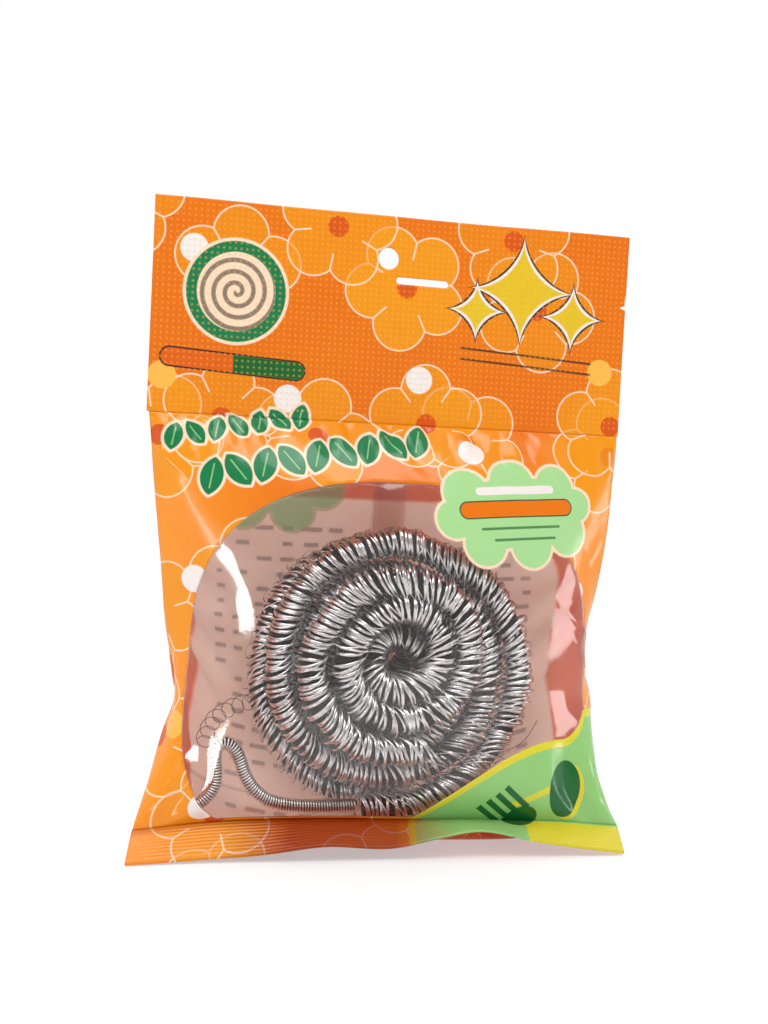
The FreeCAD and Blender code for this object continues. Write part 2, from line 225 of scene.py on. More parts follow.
def film_start(columns, rows, side, depth):
    """A first bowed grid between the seams, and which of its points are free."""
    up = np.linspace(0, 1, rows)[:, None]
    across = np.linspace(-1, 1, columns)[None, :]
    left = seam_line(up[:, 0], LEFT_SEAM_SHARES, -1)
    right = seam_line(up[:, 0], RIGHT_SEAM_SHARES, 1)
    towards = (1 + across[..., None]) / 2
    grid = left[:, None] * (1 - towards) + right[:, None] * towards
    grid[..., 1] += side * depth * np.sin(np.pi * up) * (1 - across**2)
    grid[0, :, 0] = half_width * across[0]
    grid[0, :, 1] = fold[1]
    grid[0, :, 2] = fold_height(across[0])
    grid[-1, :, 1:] = foot[1:]
    free = np.ones((rows, columns))
    free[[0, -1]] = 0
    free[:, [0, -1]] = 0
    return grid, free


def keep_length(grid, free, first, second, length, stiffness):
    """Moves each pair of points towards its flat distance."""
    apart = grid[second] - grid[first]
    distance = np.sqrt((apart * apart).sum(-1)) + TINY
    weight = np.maximum(free[first] + free[second], TINY)
    move = (stiffness * (distance - length) / (distance * weight))[..., None] * apart
    grid[first] += free[first][..., None] * move
    grid[second] -= free[second][..., None] * move


def paired(count, step):
    """Rows or columns paired a step apart, in sets that use none twice."""
    sets = []
    for start in range(2 * step):
        first = np.arange(start, count - step, 2 * step)
        if len(first):
            sets.append((first, first + step))
    return sets


def film_ties(rows, columns, across, up):
    """Every set of paired points of a film, with its flat length and stiffness."""
    every = slice(None)
    ties = []
    for step, stiffness in ((1, 1.0), (2, BEND_STIFFNESS_SHARE), (4, WIDE_STIFFNESS_SHARE)):
        for first, second in paired(columns, step):
            ties.append(((every, first), (every, second), step * across, stiffness))
        for first, second in paired(rows, step):
            ties.append(((first,), (second,), step * up, stiffness))
    slant = np.hypot(across, (up[1:] + up[:-1]) / 2)
    for first, second in paired(columns, 1):
        for low, high in paired(rows, 1):
            for start, end in ((first, second), (second, first)):
                length = slant[first]
                ties.append((np.ix_(low, start), np.ix_(high, end), length, SHEAR_STIFFNESS_SHARE))
    return ties


def clear_of_contents(grid, free):
    """Keeps a film outside the scrubber and its loop, and above the floor."""
    away = grid - ball_centre
    across = np.hypot(away[..., 0], away[..., 2]) / (ball_size / 2 + BALL_MARGIN)
    deep = np.abs(away[..., 1]) / (ball_half_depth + BALL_MARGIN)
    level = (across**BALL_CORNER_POWER + deep**BALL_CORNER_POWER) ** (1 / BALL_CORNER_POWER)
    swell = np.where(free * (level < 1) > 0, 1 / np.maximum(level, BALL_LEAST_LEVEL), 1.0)
    grid = ball_centre + away * swell[..., None]
    for place in loop_places:
        away = grid - place
        distance = np.linalg.norm(away, axis=-1) + TINY
        short = free * np.maximum(SPRING / 2 + LOOP_MARGIN - distance, 0) / distance
        grid = grid + away * short[..., None]
    reach = SPRING / 2 + SWING_MARGIN
    for place in swung_places:
        aside = np.hypot(grid[..., 0] - place[0], grid[..., 1] - place[1])
        under = (free > 0) & (aside < reach) & (grid[..., 2] < place[2] + SPRING)
        low = place[2] - np.sqrt(np.maximum(reach**2 - aside**2, 0))
        grid[..., 2] = np.where(under, np.minimum(grid[..., 2], low), grid[..., 2])
    grid[..., 2] = np.maximum(grid[..., 2], FLOOR_CLEARANCE)
    return grid


def blow_out(grid, free, across, up, side, push, weight, steps):
    """Lets a film settle under a push from inside and the weight of its base."""
    ties = film_ties(*free.shape, across, up)
    heavy = np.clip(BASE_LEVEL - np.linspace(0, 1, len(grid)) / BASE_SHARE, 0, 1)[:, None]
    before = grid.copy()
    for _ in range(steps):
        outward = -side * np.cross(np.gradient(grid, axis=1), np.gradient(grid, axis=0))
        outward /= np.linalg.norm(outward, axis=-1, keepdims=True) + TINY
        moved = grid + free[..., None] * ((grid - before) * SPEED_KEPT_SHARE + push * outward)
        moved[..., 2] -= free * weight * heavy
        before = grid
        grid = moved
        for _ in range(SWEEPS):
            for first, second, length, stiffness in ties:
                keep_length(grid, free, first, second, length, stiffness)
        grid = clear_of_contents(grid, free)
    return grid


def refined(grid):
    """A grid with a smooth new point between each two."""
    for axis in (0, 1):
        rows = np.moveaxis(grid, axis, 0)
        ended = np.concatenate([2 * rows[:1] - rows[1:2], rows, 2 * rows[-1:] - rows[-2:-1]])
        between = (9 * (ended[1:-2] + ended[2:-1]) - ended[:-3] - ended[3:]) / 16
        merged = np.empty((2 * len(rows) - 1,) + rows.shape[1:])
        merged[::2] = rows
        merged[1::2] = between
        grid = np.moveaxis(merged, 0, axis)
    return grid


def eased(grid, passes):
    """A grid with its inner points drawn a little towards their neighbours."""
    for _ in range(passes):
        around = grid[:-2, 1:-1] + grid[2:, 1:-1] + grid[1:-1, :-2] + grid[1:-1, 2:]
        grid = grid.copy()
        grid[1:-1, 1:-1] = (grid[1:-1, 1:-1] + around / 4) / 2
    return grid


def blown_film(side, middle_length, side_length, gore_power, depth, push, weight, seed):
    """A film's surface as a fine grid of points."""
    generator = np.random.default_rng(seed)
    columns = int(round(2 * half_width / FIRST_STEP)) + 1
    rows = int(round(middle_length / FIRST_STEP)) + 1
    grid, free = film_start(columns, rows, side, depth)
    grid += free[..., None] * generator.normal(0, FIRST_ROUGHNESS, grid.shape)
    for stage, steps in enumerate(SETTLE_STEPS):
        if stage:
            grid = refined(grid)
            rows, columns = grid.shape[:2]
            pinned, free = film_start(columns, rows, side, depth)
            grid[free == 0] = pinned[free == 0]
        share = (1 - np.linspace(-1, 1, columns) ** 2) ** gore_power
        up = (side_length + (middle_length - side_length) * share) / (rows - 1)
        across = 2 * half_width / (columns - 1)
        scale = 1 / (1 + stage)
        steps = steps
        grid = blow_out(grid, free, across, up, side, push * scale, weight * scale, steps)
    return refined(refined(eased(grid, 1)))


def on_film(grid, across_share, up_share):
    """Places on a film's grid at shares of its width and height."""
    rows, columns = grid.shape[:2]
    x = np.clip(across_share, 0, 1) * (columns - 1)
    y = np.clip(up_share, 0, 1) * (rows - 1)
    i = np.minimum(x.astype(int), columns - 2)
    j = np.minimum(y.astype(int), rows - 2)
    s = (x - i)[..., None]
    t = (y - j)[..., None]
    low = grid[j, i] * (1 - s) + grid[j, i + 1] * s
    high = grid[j + 1, i] * (1 - s) + grid[j + 1, i + 1] * s
    return low * (1 - t) + high * t


# Fields. A field is a number that varies over a surface, kept as a shader socket, so the same sums
# draw a shape in a material and cut it out of a mesh.

def operator(operation, swapped=False):
    """A method that makes a math node from a field and another item."""
    def method(field, other):
        return math_node(operation, *((other, field) if swapped else (field, other)))

    return method


class Field:
    def __init__(self, tree, socket):
        self.tree = tree
        self.socket = socket

    def __neg__(self):
        return math_node("MULTIPLY", self, -1.0)

    def __abs__(self):
        return math_node("ABSOLUTE", self)

    __add__ = operator("ADD")
    __radd__ = operator("ADD", swapped=True)
    __sub__ = operator("SUBTRACT")
    __rsub__ = operator("SUBTRACT", swapped=True)
    __mul__ = operator("MULTIPLY")
    __rmul__ = operator("MULTIPLY", swapped=True)
    __truediv__ = operator("DIVIDE")
    __pow__ = operator("POWER")


def connect(tree, item, socket):
    if isinstance(item, Field):
        item = item.socket
    if isinstance(item, bpy.types.NodeSocket):
        tree.links.new(item, socket)
    else:
        socket.default_value = item


def set_inputs(tree, node, inputs):
    for key, item in inputs.items():
        connect(tree, item, node.inputs[key])


def add_node(tree, kind, inputs=None):
    """A new shader node, with what goes into its inputs by their names or numbers."""
    node = tree.nodes.new("ShaderNode" + kind)
    set_inputs(tree, node, inputs or {})
    return node


def math_node(operation, *items, clamp=False):
    tree = next(item.tree for item in items if isinstance(item, Field))
    node = add_node(tree, "Math")
    node.operation = operation
    node.use_clamp = clamp
    set_inputs(tree, node, dict(enumerate(items)))
    return Field(tree, node.outputs[0])


def ramp(field, slope, level):
    """A field times a slope, raised to a level and held between 0 and 1."""
    return math_node("MULTIPLY_ADD", field, slope, level, clamp=True)


def either(operation, function, *items):
    """The sum as nodes where an item is a field, and as numbers where none is."""
    if any(isinstance(item, Field) for item in items):
        return math_node(operation, *items)
    return function(*items)


def least(*items):
    return functools.reduce(lambda a, b: either("MINIMUM", np.minimum, a, b), items)


def most(*items):
    return functools.reduce(lambda a, b: either("MAXIMUM", np.maximum, a, b), items)


def root(item):
    return either("SQRT", np.sqrt, item)


def held(item):
    """A number or a field, held between 0 and 1."""
    return least(most(item, 0.0), 1.0)


def turned(u, v, centre, degrees):
    """A place seen from a turned frame round a centre."""
    c = math.cos(math.radians(degrees))
    s = math.sin(math.radians(degrees))
    return (u - centre[0]) * c + (v - centre[1]) * s, (v - centre[1]) * c - (u - centre[0]) * s


def heading(start, end):
    return math.degrees(math.atan2(end[1] - start[1], end[0] - start[0]))


def round_gap(u, v, centre, radius):
    """How far a place lies outside a circle."""
    return root((u - centre[0]) * (u - centre[0]) + (v - centre[1]) * (v - centre[1])) - radius


def bar_gap(u, v, start, end, radius):
    """How far a place lies outside a bar with round ends."""
    way = (end[0] - start[0], end[1] - start[1])
    square = way[0] ** 2 + way[1] ** 2
    share = held(((u - start[0]) * way[0] + (v - start[1]) * way[1]) / square)
    return round_gap(u - share * way[0], v - share * way[1], start, radius)


def plank_gap(u, v, start, end, half):
    """How far a place lies outside a bar with square ends."""
    s, t = turned(u, v, start, heading(start, end))
    return most(abs(t) - half, -s, s - math.dist(start, end))


# Printed shapes that also bound the window
WINDOW_CENTRE = (2.0, 48.0)
WINDOW_HALF_SIZE = (67.0, 57.0)
WINDOW_TOP_POWER = 2.5
WINDOW_LOW_POWER = 3.2
WINDOW_FOOT = 1.5
BADGE_CENTRE = (38.0, 98.0)
BADGE_TILT = 7.0
BADGE_PUFFS = (
    (-16.5, 7.0, 8.5), (-0.5, 9.5, 8.5), (15.0, 8.0, 8.0), (22.0, 2.0, 6.5), (-21.5, -1.0, 7.0),
    (-12.5, -9.0, 8.0), (4.0, -10.0, 8.5), (18.0, -7.0, 8.0), (-6.0, 0.0, 12.0), (8.0, 0.0, 12.0))
CORNER_START = 7.0
CORNER_RISE = 26.8
CORNER_RUN = 50.0
CORNER_LIP_START = 57.0
CORNER_LIP_RUN = 11.0
CORNER_LIP_RISE = 9.0
CORNER_SLOPE_SHARE = 0.85


def badge_gap(u, v):
    s, t = turned(u, v, BADGE_CENTRE, BADGE_TILT)
    return least(*(round_gap(s, t, puff[:2], puff[2]) for puff in BADGE_PUFFS))


def corner_gap(u, v):
    left = 1.0 - held((u - CORNER_START) / CORNER_RUN)
    lip = held((u - CORNER_LIP_START) / CORNER_LIP_RUN)
    rise = CORNER_RISE - left * left * CORNER_RISE + lip * lip * CORNER_LIP_RISE
    return most((v - rise) * CORNER_SLOPE_SHARE, CORNER_START - u)


def oval_gap(u, v):
    power = np.where(v > WINDOW_CENTRE[1], WINDOW_TOP_POWER, WINDOW_LOW_POWER)
    across = abs(u - WINDOW_CENTRE[0]) / WINDOW_HALF_SIZE[0]
    up = abs(v - WINDOW_CENTRE[1]) / WINDOW_HALF_SIZE[1]
    return ((across**power + up**power) ** (1 / power) - 1.0) * WINDOW_HALF_SIZE[1]


def window_gap(u, v):
    return most(oval_gap(u, v), WINDOW_FOOT - v, -badge_gap(u, v), -corner_gap(u, v))


# Meshes
CUT_PASSES = 3
CUT_REACH_SHARE = 0.62
ON_CUT_SHARE = 0.02
NUDGE = 0.02
LEAST_SQUARE = 1e-6


def snapped(u, v, gap, step):
    """Moves the places near a cut onto it, and says which side each place is on."""
    for _ in range(CUT_PASSES):
        now = gap(u, v)
        slope_u = (gap(u + NUDGE, v) - gap(u - NUDGE, v)) / (2 * NUDGE)
        slope_v = (gap(u, v + NUDGE) - gap(u, v - NUDGE)) / (2 * NUDGE)
        square = np.maximum(slope_u**2 + slope_v**2, LEAST_SQUARE)
        near = np.abs(now) < CUT_REACH_SHARE * step
        u = np.where(near, u - now * slope_u / square, u)
        v = np.where(near, v - now * slope_v / square, v)
    now = gap(u, v)
    return u, v, np.where(np.abs(now) < ON_CUT_SHARE * step, 0, np.sign(now))


def cut_faces(sides, wanted):
    """The faces of a grid that lie on the wanted side of its cut."""
    rows, columns = sides.shape
    index = np.arange(rows * columns).reshape(rows, columns)
    ring = [index[:-1, :-1], index[:-1, 1:], index[1:, 1:], index[1:, :-1]]
    corners = np.stack(ring, -1).reshape(-1, 4)
    signs = sides.reshape(-1)[corners] * wanted
    whole = corners[(signs >= 0).all(1) & (signs > 0).any(1)]
    faces = [tuple(face) for face in whole]
    mixed = (signs > 0).any(1) & (signs < 0).any(1)
    for face, sign in zip(corners[mixed], signs[mixed]):
        kept = [int(corner) for corner, s in zip(face, sign) if s >= 0]
        if len(kept) == 3:
            faces.append(tuple(kept))
    return faces


def mesh_object(name, points, faces, materials, places=None):
    """A new object from points in millimetres, with its film places as a UV map."""
    used = np.unique(np.concatenate([np.array(face) for face in faces]))
    order = np.full(len(points), -1)
    order[used] = np.arange(len(used))
    mesh = bpy.data.meshes.new(name)
    mesh.from_pydata((points[used] * MM).tolist(), [], [order[list(face)].tolist() for face in faces])
    if places is not None:
        layer = mesh.uv_layers.new(name="film")
        loops = np.zeros(len(mesh.loops), np.int64)
        mesh.loops.foreach_get("vertex_index", loops)
        layer.data.foreach_set("uv", (places[used][loops] / UV_MM).astype(np.float32).ravel())
    mesh.polygons.foreach_set("use_smooth", np.ones(len(mesh.polygons), bool))
    for material in materials:
        mesh.materials.append(material)
    made = bpy.data.objects.new(name, mesh)
    bpy.context.scene.collection.objects.link(made)
    return made


def film_shell(name, points, faces, materials, u, v, thickness=FILM, offset=1.0):
    """A thin closed shell from an open film, whose far side has the second material."""
    places = np.stack([u.ravel(), v.ravel()], 1)
    made = mesh_object(name, points.reshape(-1, 3), faces, materials, places)
    solid = made.modifiers.new("shell", "SOLIDIFY")
    solid.thickness = thickness * MM
    solid.offset = offset
    solid.material_offset = 1
    graph = bpy.context.evaluated_depsgraph_get()
    mesh = bpy.data.meshes.new_from_object(made.evaluated_get(graph))
    made.modifiers.clear()
    made.data = mesh
    return made


def film_lattice(low, high, step):
    """Places (u, v) on an even lattice between two corners."""
    columns = int(round((high[0] - low[0]) / step)) + 1
    rows = int(round((high[1] - low[1]) / step)) + 1
    return np.meshgrid(np.linspace(low[0], high[0], columns), np.linspace(low[1], high[1], rows))


def plain_faces(shape):
    return cut_faces(np.ones(shape), 1)


CREASES = 44
CREASE_SEED = 31
CREASE_PLACES = (0.86, 1.0)
CREASE_TURN = 60
CREASE_REACH = (4.0, 12.0)
CREASE_WIDTH = (1.0, 3.0)
CREASE_HEIGHT = 0.6
CREASE_EDGE = 4.0
PLEAT_HEIGHT = 17.0
PLEAT_DEPTH = 0.8
PLEAT_PITCH = 7.3
PLEAT_STRAY = 11.0
FACING_REACH = 0.5


def crease_lift(u, v, length, side):
    """How far a film stands proud in its creases and in the gathers under the header."""
    generator = np.random.default_rng(CREASE_SEED + side)
    lift = np.zeros_like(u)
    for number in range(CREASES):
        across = (-1) ** number * generator.uniform(*CREASE_PLACES) * half_width
        centre = (across, generator.uniform(0, length))
        s, t = turned(u, v, centre, generator.uniform(-CREASE_TURN, CREASE_TURN))
        reach = generator.uniform(*CREASE_REACH)
        width = generator.uniform(*CREASE_WIDTH)
        height = generator.uniform(-CREASE_HEIGHT, CREASE_HEIGHT)
        lift += height * np.exp(-((s / reach) ** 2) - np.abs(t) / width)
    edge = np.minimum(np.minimum(v, length - v), half_width - np.abs(u))
    lift *= np.clip(edge / CREASE_EDGE, 0, 1)
    up = np.clip((v - length) / PLEAT_HEIGHT + 1, 0, 1)
    wave = np.sin(2 * np.pi * u / PLEAT_PITCH + 2 * np.sin(u / PLEAT_STRAY))
    return lift + 4 * PLEAT_DEPTH * wave * up**2 * (1 - up)


def film_points(grid, u, v, length, side, lift):
    """Places on a creased film, raised outward by a lift."""
    def spot(du, dv):
        return on_film(grid, (u + du) / (2 * half_width) + 0.5, (v + dv) / length)

    across = spot(FACING_REACH, 0) - spot(-FACING_REACH, 0)
    up = spot(0, FACING_REACH) - spot(0, -FACING_REACH)
    outward = unit(-side * np.cross(across, up))
    lift = lift + crease_lift(u, v, length, side)
    return spot(0, 0) + outward * lift[..., None]


def film_piece(name, grid, u, v, length, faces, materials, side, lift=0.0):
    """A piece of a blown film at places (u, v), with its printed face outward."""
    points = film_points(grid, u, v, length, side, lift)
    if side > 0:
        faces = [face[::-1] for face in faces]
    return film_shell(name, points, faces, materials, u, v)


# Materials

def linear(colour):
    """A colour written as 0 to 255 in sRGB, as the renderer's own numbers."""
    share = np.array(colour, float) / 255
    low = share / 12.92
    high = ((share + 0.055) / 1.055) ** 2.4
    return (*np.where(share <= 0.04045, low, high).tolist(), 1.0)


ORANGE = (237, 122, 2)
DEEP_ORANGE = (228, 100, 1)
LIGHT_ORANGE = (255, 162, 52)
# Deep red for the painted shade on the bottom strip
STRIP_SHADE_RED = (146, 28, 0)
AMBER = (244, 156, 14)
PALE_AMBER = (253, 190, 78)
CREAM = (255, 226, 196)
WHITE = (246, 238, 234)
LEAF_GREEN = (22, 128, 74)
BADGE_GREEN = (172, 224, 152)
FIELD_GREEN = (150, 208, 124)
DARK_GREEN = (18, 104, 44)
YELLOW = (226, 216, 52)
STAR_YELLOW = (232, 198, 36)
DOT_ORANGE = (222, 88, 8)
INK = (44, 38, 30)
INNER_ORANGE = (236, 122, 66)
SALMON = (250, 220, 206)
PALE_SALMON = (252, 234, 226)
GREY_INK = (128, 104, 96)
MUTED_GREEN = (126, 158, 104)


class Paint:
    """The colour of a print, laid down layer on layer."""

    def __init__(self, tree, colour):
        self.tree = tree
        self.colour = linear(colour)

    def lay(self, colour, share, strength=None):
        node = add_node(self.tree, "Mix")
        node.data_type = "RGBA"
        colours = [socket for socket in node.inputs if socket.type == "RGBA"]
        connect(self.tree, share * strength if strength else share, node.inputs["Factor"])
        connect(self.tree, self.colour, colours[0])
        colours[1].default_value = linear(colour)
        self.colour = next(socket for socket in node.outputs if socket.type == "RGBA")


def inside(gap, soft=0.2):
    """1 inside a shape and 0 outside it, with a soft edge."""
    return ramp(gap, slope=-1.0 / soft, level=0.5)


def new_material(name):
    material = bpy.data.materials.new(name)
    material.use_nodes = True
    tree = material.node_tree
    tree.nodes.clear()
    shader = add_node(tree, "BsdfPrincipled")
    output = add_node(tree, "OutputMaterial", {"Surface": shader.outputs[0]})
    return material, tree, shader, output


def separated(tree, socket):
    """The three fields of a place."""
    return [Field(tree, part) for part in add_node(tree, "SeparateXYZ", {0: socket}).outputs]


def film_place(tree):
    """The fields u and v of a film, in millimetres."""
    node = add_node(tree, "UVMap")
    node.uv_map = "film"
    return [field * UV_MM for field in separated(tree, node.outputs[0])[:2]]


def noise(tree, scale, detail=2.0):
    place = add_node(tree, "TexCoord").outputs["Object"]
    node = add_node(tree, "TexNoise", {"Scale": scale, "Detail": detail, "Vector": place})
    return Field(tree, node.outputs[0])


def chance(tree, u, v, seed):
    """Three random fields that are even over each whole step of u and v."""
    joined = add_node(tree, "CombineXYZ", {0: u, 1: v, 2: seed})
    node = add_node(tree, "TexWhiteNoise", {"Vector": joined.outputs[0]})
    parts = add_node(tree, "SeparateColor", {0: node.outputs["Color"]})
    return [Field(tree, socket) for socket in parts.outputs]


# Added before a remainder is taken, so that it is never that of a negative number
EVEN_OFFSET = 1000.0
ANGLE_OFFSET = 20.0


def cells(tree, u, v, cell, seed):
    """Places within staggered cells, with three random fields for each cell."""
    row = math_node("FLOOR", v / cell)
    slid = u + math_node("MODULO", row + EVEN_OFFSET, 2.0) * (cell / 2)
    column = math_node("FLOOR", slid / cell)
    draws = chance(tree, column, row, seed)
    return slid - (column + 0.5) * cell, v - (row + 0.5) * cell, draws


PETALS = 5
FLOWER_LAYERS = ((48.0, 19.5, 0.95), (61.0, 18.5, 0.75))
LAYER_SHIFT = (21.0, 26.0)
FLOWER_STRAY = 7.0
FLOWER_TURN = 6.0
PETAL_REACH_SHARE = 0.57
PETAL_RADIUS_SHARE = 0.43
HEART_SHARE = 0.8
POLLEN_RADIUS = 3.2
OUTLINE = 0.5


def flowers(paint, u, v, cell, size, fill, seed):
    """Large round-petalled flowers with thin pale outlines, one in each staggered cell."""
    x, y, draws = cells(paint.tree, u, v, cell, seed)
    x = x - (draws[0] - 0.5) * FLOWER_STRAY
    y = y - (draws[1] - 0.5) * FLOWER_STRAY
    radius = root(x * x + y * y)
    sector = 2 * math.pi / PETALS
    angle = math_node("ARCTAN2", y, x) + draws[2] * FLOWER_TURN + ANGLE_OFFSET
    swing = math_node("MODULO", angle, sector) - sector / 2
    px = radius * math_node("COSINE", swing)
    py = radius * math_node("SINE", swing)
    reach = size * PETAL_REACH_SHARE
    gap = root((px - reach) * (px - reach) + py * py) - size * PETAL_RADIUS_SHARE
    gap = least(gap, radius - reach * HEART_SHARE)
    paint.lay(AMBER, inside(gap) * ramp(draws[0], slope=0.6, level=0.5) * fill)
    fork = radius * math_node("SINE", sector / 2 - abs(swing))
    tick = inside(abs(fork) - OUTLINE / 2) * inside(reach * HEART_SHARE - radius) * inside(gap)
    paint.lay(CREAM, most(inside(abs(gap) - OUTLINE / 2), tick), strength=0.9)
    paint.lay(DOT_ORANGE, inside(radius - POLLEN_RADIUS))


WHITE_DOTS = (
    (-33.0, 133.0), (24.0, 117.0), (61.5, 74.0), (-63.0, 75.0), (-55.5, 6.0), (-63.0, 176.0), (8.0, 141.0))
AMBER_DOTS = ((67.5, 147.0), (-71.0, 138.0), (-68.0, 30.0))
DOT_RADIUS = 4.2


def dots(paint, u, v):
    """Loose round dots, most of them white."""
    for colour, places in ((WHITE, WHITE_DOTS), (PALE_AMBER, AMBER_DOTS)):
        paint.lay(colour, inside(least(*(round_gap(u, v, place, DOT_RADIUS) for place in places))))


LEAF_ROWS = (((-71.0, 118.5), (-24.8, 128.0), 6.6, 9.0), ((-60.5, 105.5), (12.4, 121.0), 8.1, 12.0))
LEAF_LEAN = 24.0
LEAF_WIDTH_SHARE = 0.29
LEAF_RIM = 0.9
VEIN_HALF_WIDTH = 0.22
VEIN_REACH_SHARE = 0.33


def leaf_row(paint, u, v, start, end, period, length):
    """A row of plump leaves that lean by turns to one side and the other."""
    last = float(int(math.dist(start, end) / period) - 1)
    s, t = turned(u, v, start, heading(start, end))
    step = least(most(math_node("FLOOR", s / period), 0.0), last)
    side = math_node("MODULO", step + EVEN_OFFSET, 2.0) * 2.0 - 1.0
    x, y = turned((s - (step + 0.5) * period) * side, t, (0.0, 0.0), LEAF_LEAN)
    wide = length * LEAF_WIDTH_SHARE
    bow = (length * length / 4 - wide * wide) / (2 * wide)
    blade = root(y * y + (abs(x) + bow) * (abs(x) + bow)) - (bow + wide)
    paint.lay(CREAM, inside(blade - LEAF_RIM))
    paint.lay(LEAF_GREEN, inside(blade))
    vein = inside(abs(x) - VEIN_HALF_WIDTH) * inside(abs(y) - length * VEIN_REACH_SHARE)
    paint.lay(BADGE_GREEN, vein * inside(blade), strength=0.7)


SPARKLES = ((40.0, 171.0, 15.0), (57.0, 163.5, 8.5), (25.5, 164.0, 7.5))
SPARKLE_POWER = 0.62
SPARKLE_EDGE_SHARE = 0.45
SPARKLE_LAYERS = ((INK, 1.5), (WHITE, 0.9), (STAR_YELLOW, 0.0))
ROSETTE_CENTRE = (-50.0, 164.0)
ROSETTE_RADIUS = 15.0
ROSETTE_RIM = 1.0
ROSETTE_BAND = 3.2
SPIRAL_PITCH = 3.4
SPIRAL_HALF_SHARE = 0.2
HEADER_BAR = ((-69.0, 143.6), (-31.0, 141.4), 2.6)
HEADER_BAR_RIM = 0.5
HEADER_BAR_PARTING = -50.0
HEADER_RULES = (((21.0, 152.0), (64.0, 149.6), 0.35), ((21.0, 148.6), (64.0, 146.2), 0.35))


def star_gap(u, v, centre, radius):
    """A four-pointed sparkle."""
    x = abs(u - centre[0]) / radius
    y = abs(v - centre[1]) / radius
    reach = (x**SPARKLE_POWER + y**SPARKLE_POWER) ** (1 / SPARKLE_POWER)
    return (reach - 1.0) * (radius * SPARKLE_EDGE_SHARE)


def emblems(paint, u, v):
    """Plain ornaments on the header: sparkles and a spiral rosette over a two-colour bar."""
    star = least(*(star_gap(u, v, place[:2], place[2]) for place in SPARKLES))
    for colour, rim in SPARKLE_LAYERS:
        paint.lay(colour, inside(star - rim))
    ring = round_gap(u, v, ROSETTE_CENTRE, ROSETTE_RADIUS)
    paint.lay(CREAM, inside(ring - ROSETTE_RIM))
    paint.lay(LEAF_GREEN, inside(ring))
    x = u - ROSETTE_CENTRE[0]
    y = v - ROSETTE_CENTRE[1]
    turn = math_node("ARCTAN2", y, x) / (2 * math.pi)
    wind = math_node("FRACT", root(x * x + y * y) / SPIRAL_PITCH - turn)
    disc = inside(ring + ROSETTE_BAND)
    paint.lay(CREAM, disc)
    paint.lay(INK, disc * inside(abs(wind - 0.5) - SPIRAL_HALF_SHARE, soft=0.1), strength=0.75)
    bar = bar_gap(u, v, *HEADER_BAR)
    paint.lay(INK, inside(bar - HEADER_BAR_RIM))
    paint.lay(DEEP_ORANGE, inside(bar))
    paint.lay(DARK_GREEN, inside(most(bar, HEADER_BAR_PARTING - u)))
    paint.lay(INK, inside(least(*(bar_gap(u, v, *rule) for rule in HEADER_RULES))), strength=0.85)


BADGE_RIM = 1.0
BADGE_BAR = ((-17.0, 1.5), (18.0, 1.5), 2.4)
BADGE_BAR_RIM = 0.45
BADGE_RULES = (((-13.0, -4.6), (15.0, -4.6), 0.4), ((-9.0, -8.2), (13.0, -8.2), 0.4))
BADGE_TOP_BAR = ((-12.0, 7.4), (13.0, 7.4), 1.3)


def cloud(paint, gap):
    paint.lay(CREAM, inside(gap))
    paint.lay(BADGE_GREEN, inside(gap + BADGE_RIM))


def badge(paint, u, v):
    """The cloud badge, blank but for plain bars and two rules."""
    cloud(paint, badge_gap(u, v))
    s, t = turned(u, v, BADGE_CENTRE, BADGE_TILT)
    bar = bar_gap(s, t, *BADGE_BAR)
    paint.lay(INK, inside(bar - BADGE_BAR_RIM), strength=0.9)
    paint.lay(ORANGE, inside(bar))
    paint.lay(DARK_GREEN, inside(least(*(bar_gap(s, t, *rule) for rule in BADGE_RULES))), strength=0.8)
    paint.lay(WHITE, inside(bar_gap(s, t, *BADGE_TOP_BAR)))


CORNER_EDGE = 2.1
STRIP_YELLOW_START = 44.0
STRIP_YELLOW_TOP = -1.2
SPOON_HANDLE = ((38.5, 6.6), (56.0, 13.4), 0.95)
BOWL_CENTRE = (57.1, 11.0)
BOWL_LEAN = -11.0
BOWL_RADIUS = 6.1
BOWL_LENGTHENING = 0.45
BOWL_SHADOW = (1.3, -0.8)
TINES = 4
TINE_ENDS = ((27.8, 6.3), (35.8, -0.7))
TINE_STEP = (2.67, 2.2)
TINE_HALF_WIDTH = 0.95
PALM_CENTRE = (42.0, 0.6)
PALM_LEAN = -41.0
PALM_RADIUS = 6.2
PALM_FLATTENING = 1.5


def bowl_gap(u, v):
    """How far a place lies outside the spoon's bowl."""
    s, t = turned(u, v, BOWL_CENTRE, BOWL_LEAN)
    return root(s * s + t * t * BOWL_LENGTHENING) - BOWL_RADIUS


def fork_gap(u, v):
    """How far a place lies outside the fork, four tines on a round palm."""
    s, t = turned(u, v, PALM_CENTRE, PALM_LEAN)
    gaps = [root(s * s * PALM_FLATTENING + t * t) - PALM_RADIUS]
    for number in range(TINES):
        ends = [(x + TINE_STEP[0] * number, y + TINE_STEP[1] * number) for x, y in TINE_ENDS]
        gaps.append(plank_gap(u, v, *ends, TINE_HALF_WIDTH))
    return least(*gaps)


def corner(paint, u, v):
    """The green corner with its yellow edge, a plain spoon and a plain fork."""
    gap = corner_gap(u, v)
    paint.lay(YELLOW, inside(gap))
    paint.lay(FIELD_GREEN, inside(gap + CORNER_EDGE))
    paint.lay(YELLOW, inside(bar_gap(u, v, *SPOON_HANDLE)))
    paint.lay(YELLOW, inside(most(v - STRIP_YELLOW_TOP, STRIP_YELLOW_START - u)))
    paint.lay(YELLOW, inside(bowl_gap(u - BOWL_SHADOW[0], v - BOWL_SHADOW[1])))
    paint.lay(DARK_GREEN, inside(bowl_gap(u, v)))
    paint.lay(DARK_GREEN, inside(fork_gap(u, v)))


def grain(tree, shader, height):
    """Bump from a height in millimetres."""
    node = add_node(tree, "Bump", {"Distance": MM, "Height": height})
    set_inputs(tree, shader, {"Normal": node.outputs[0]})


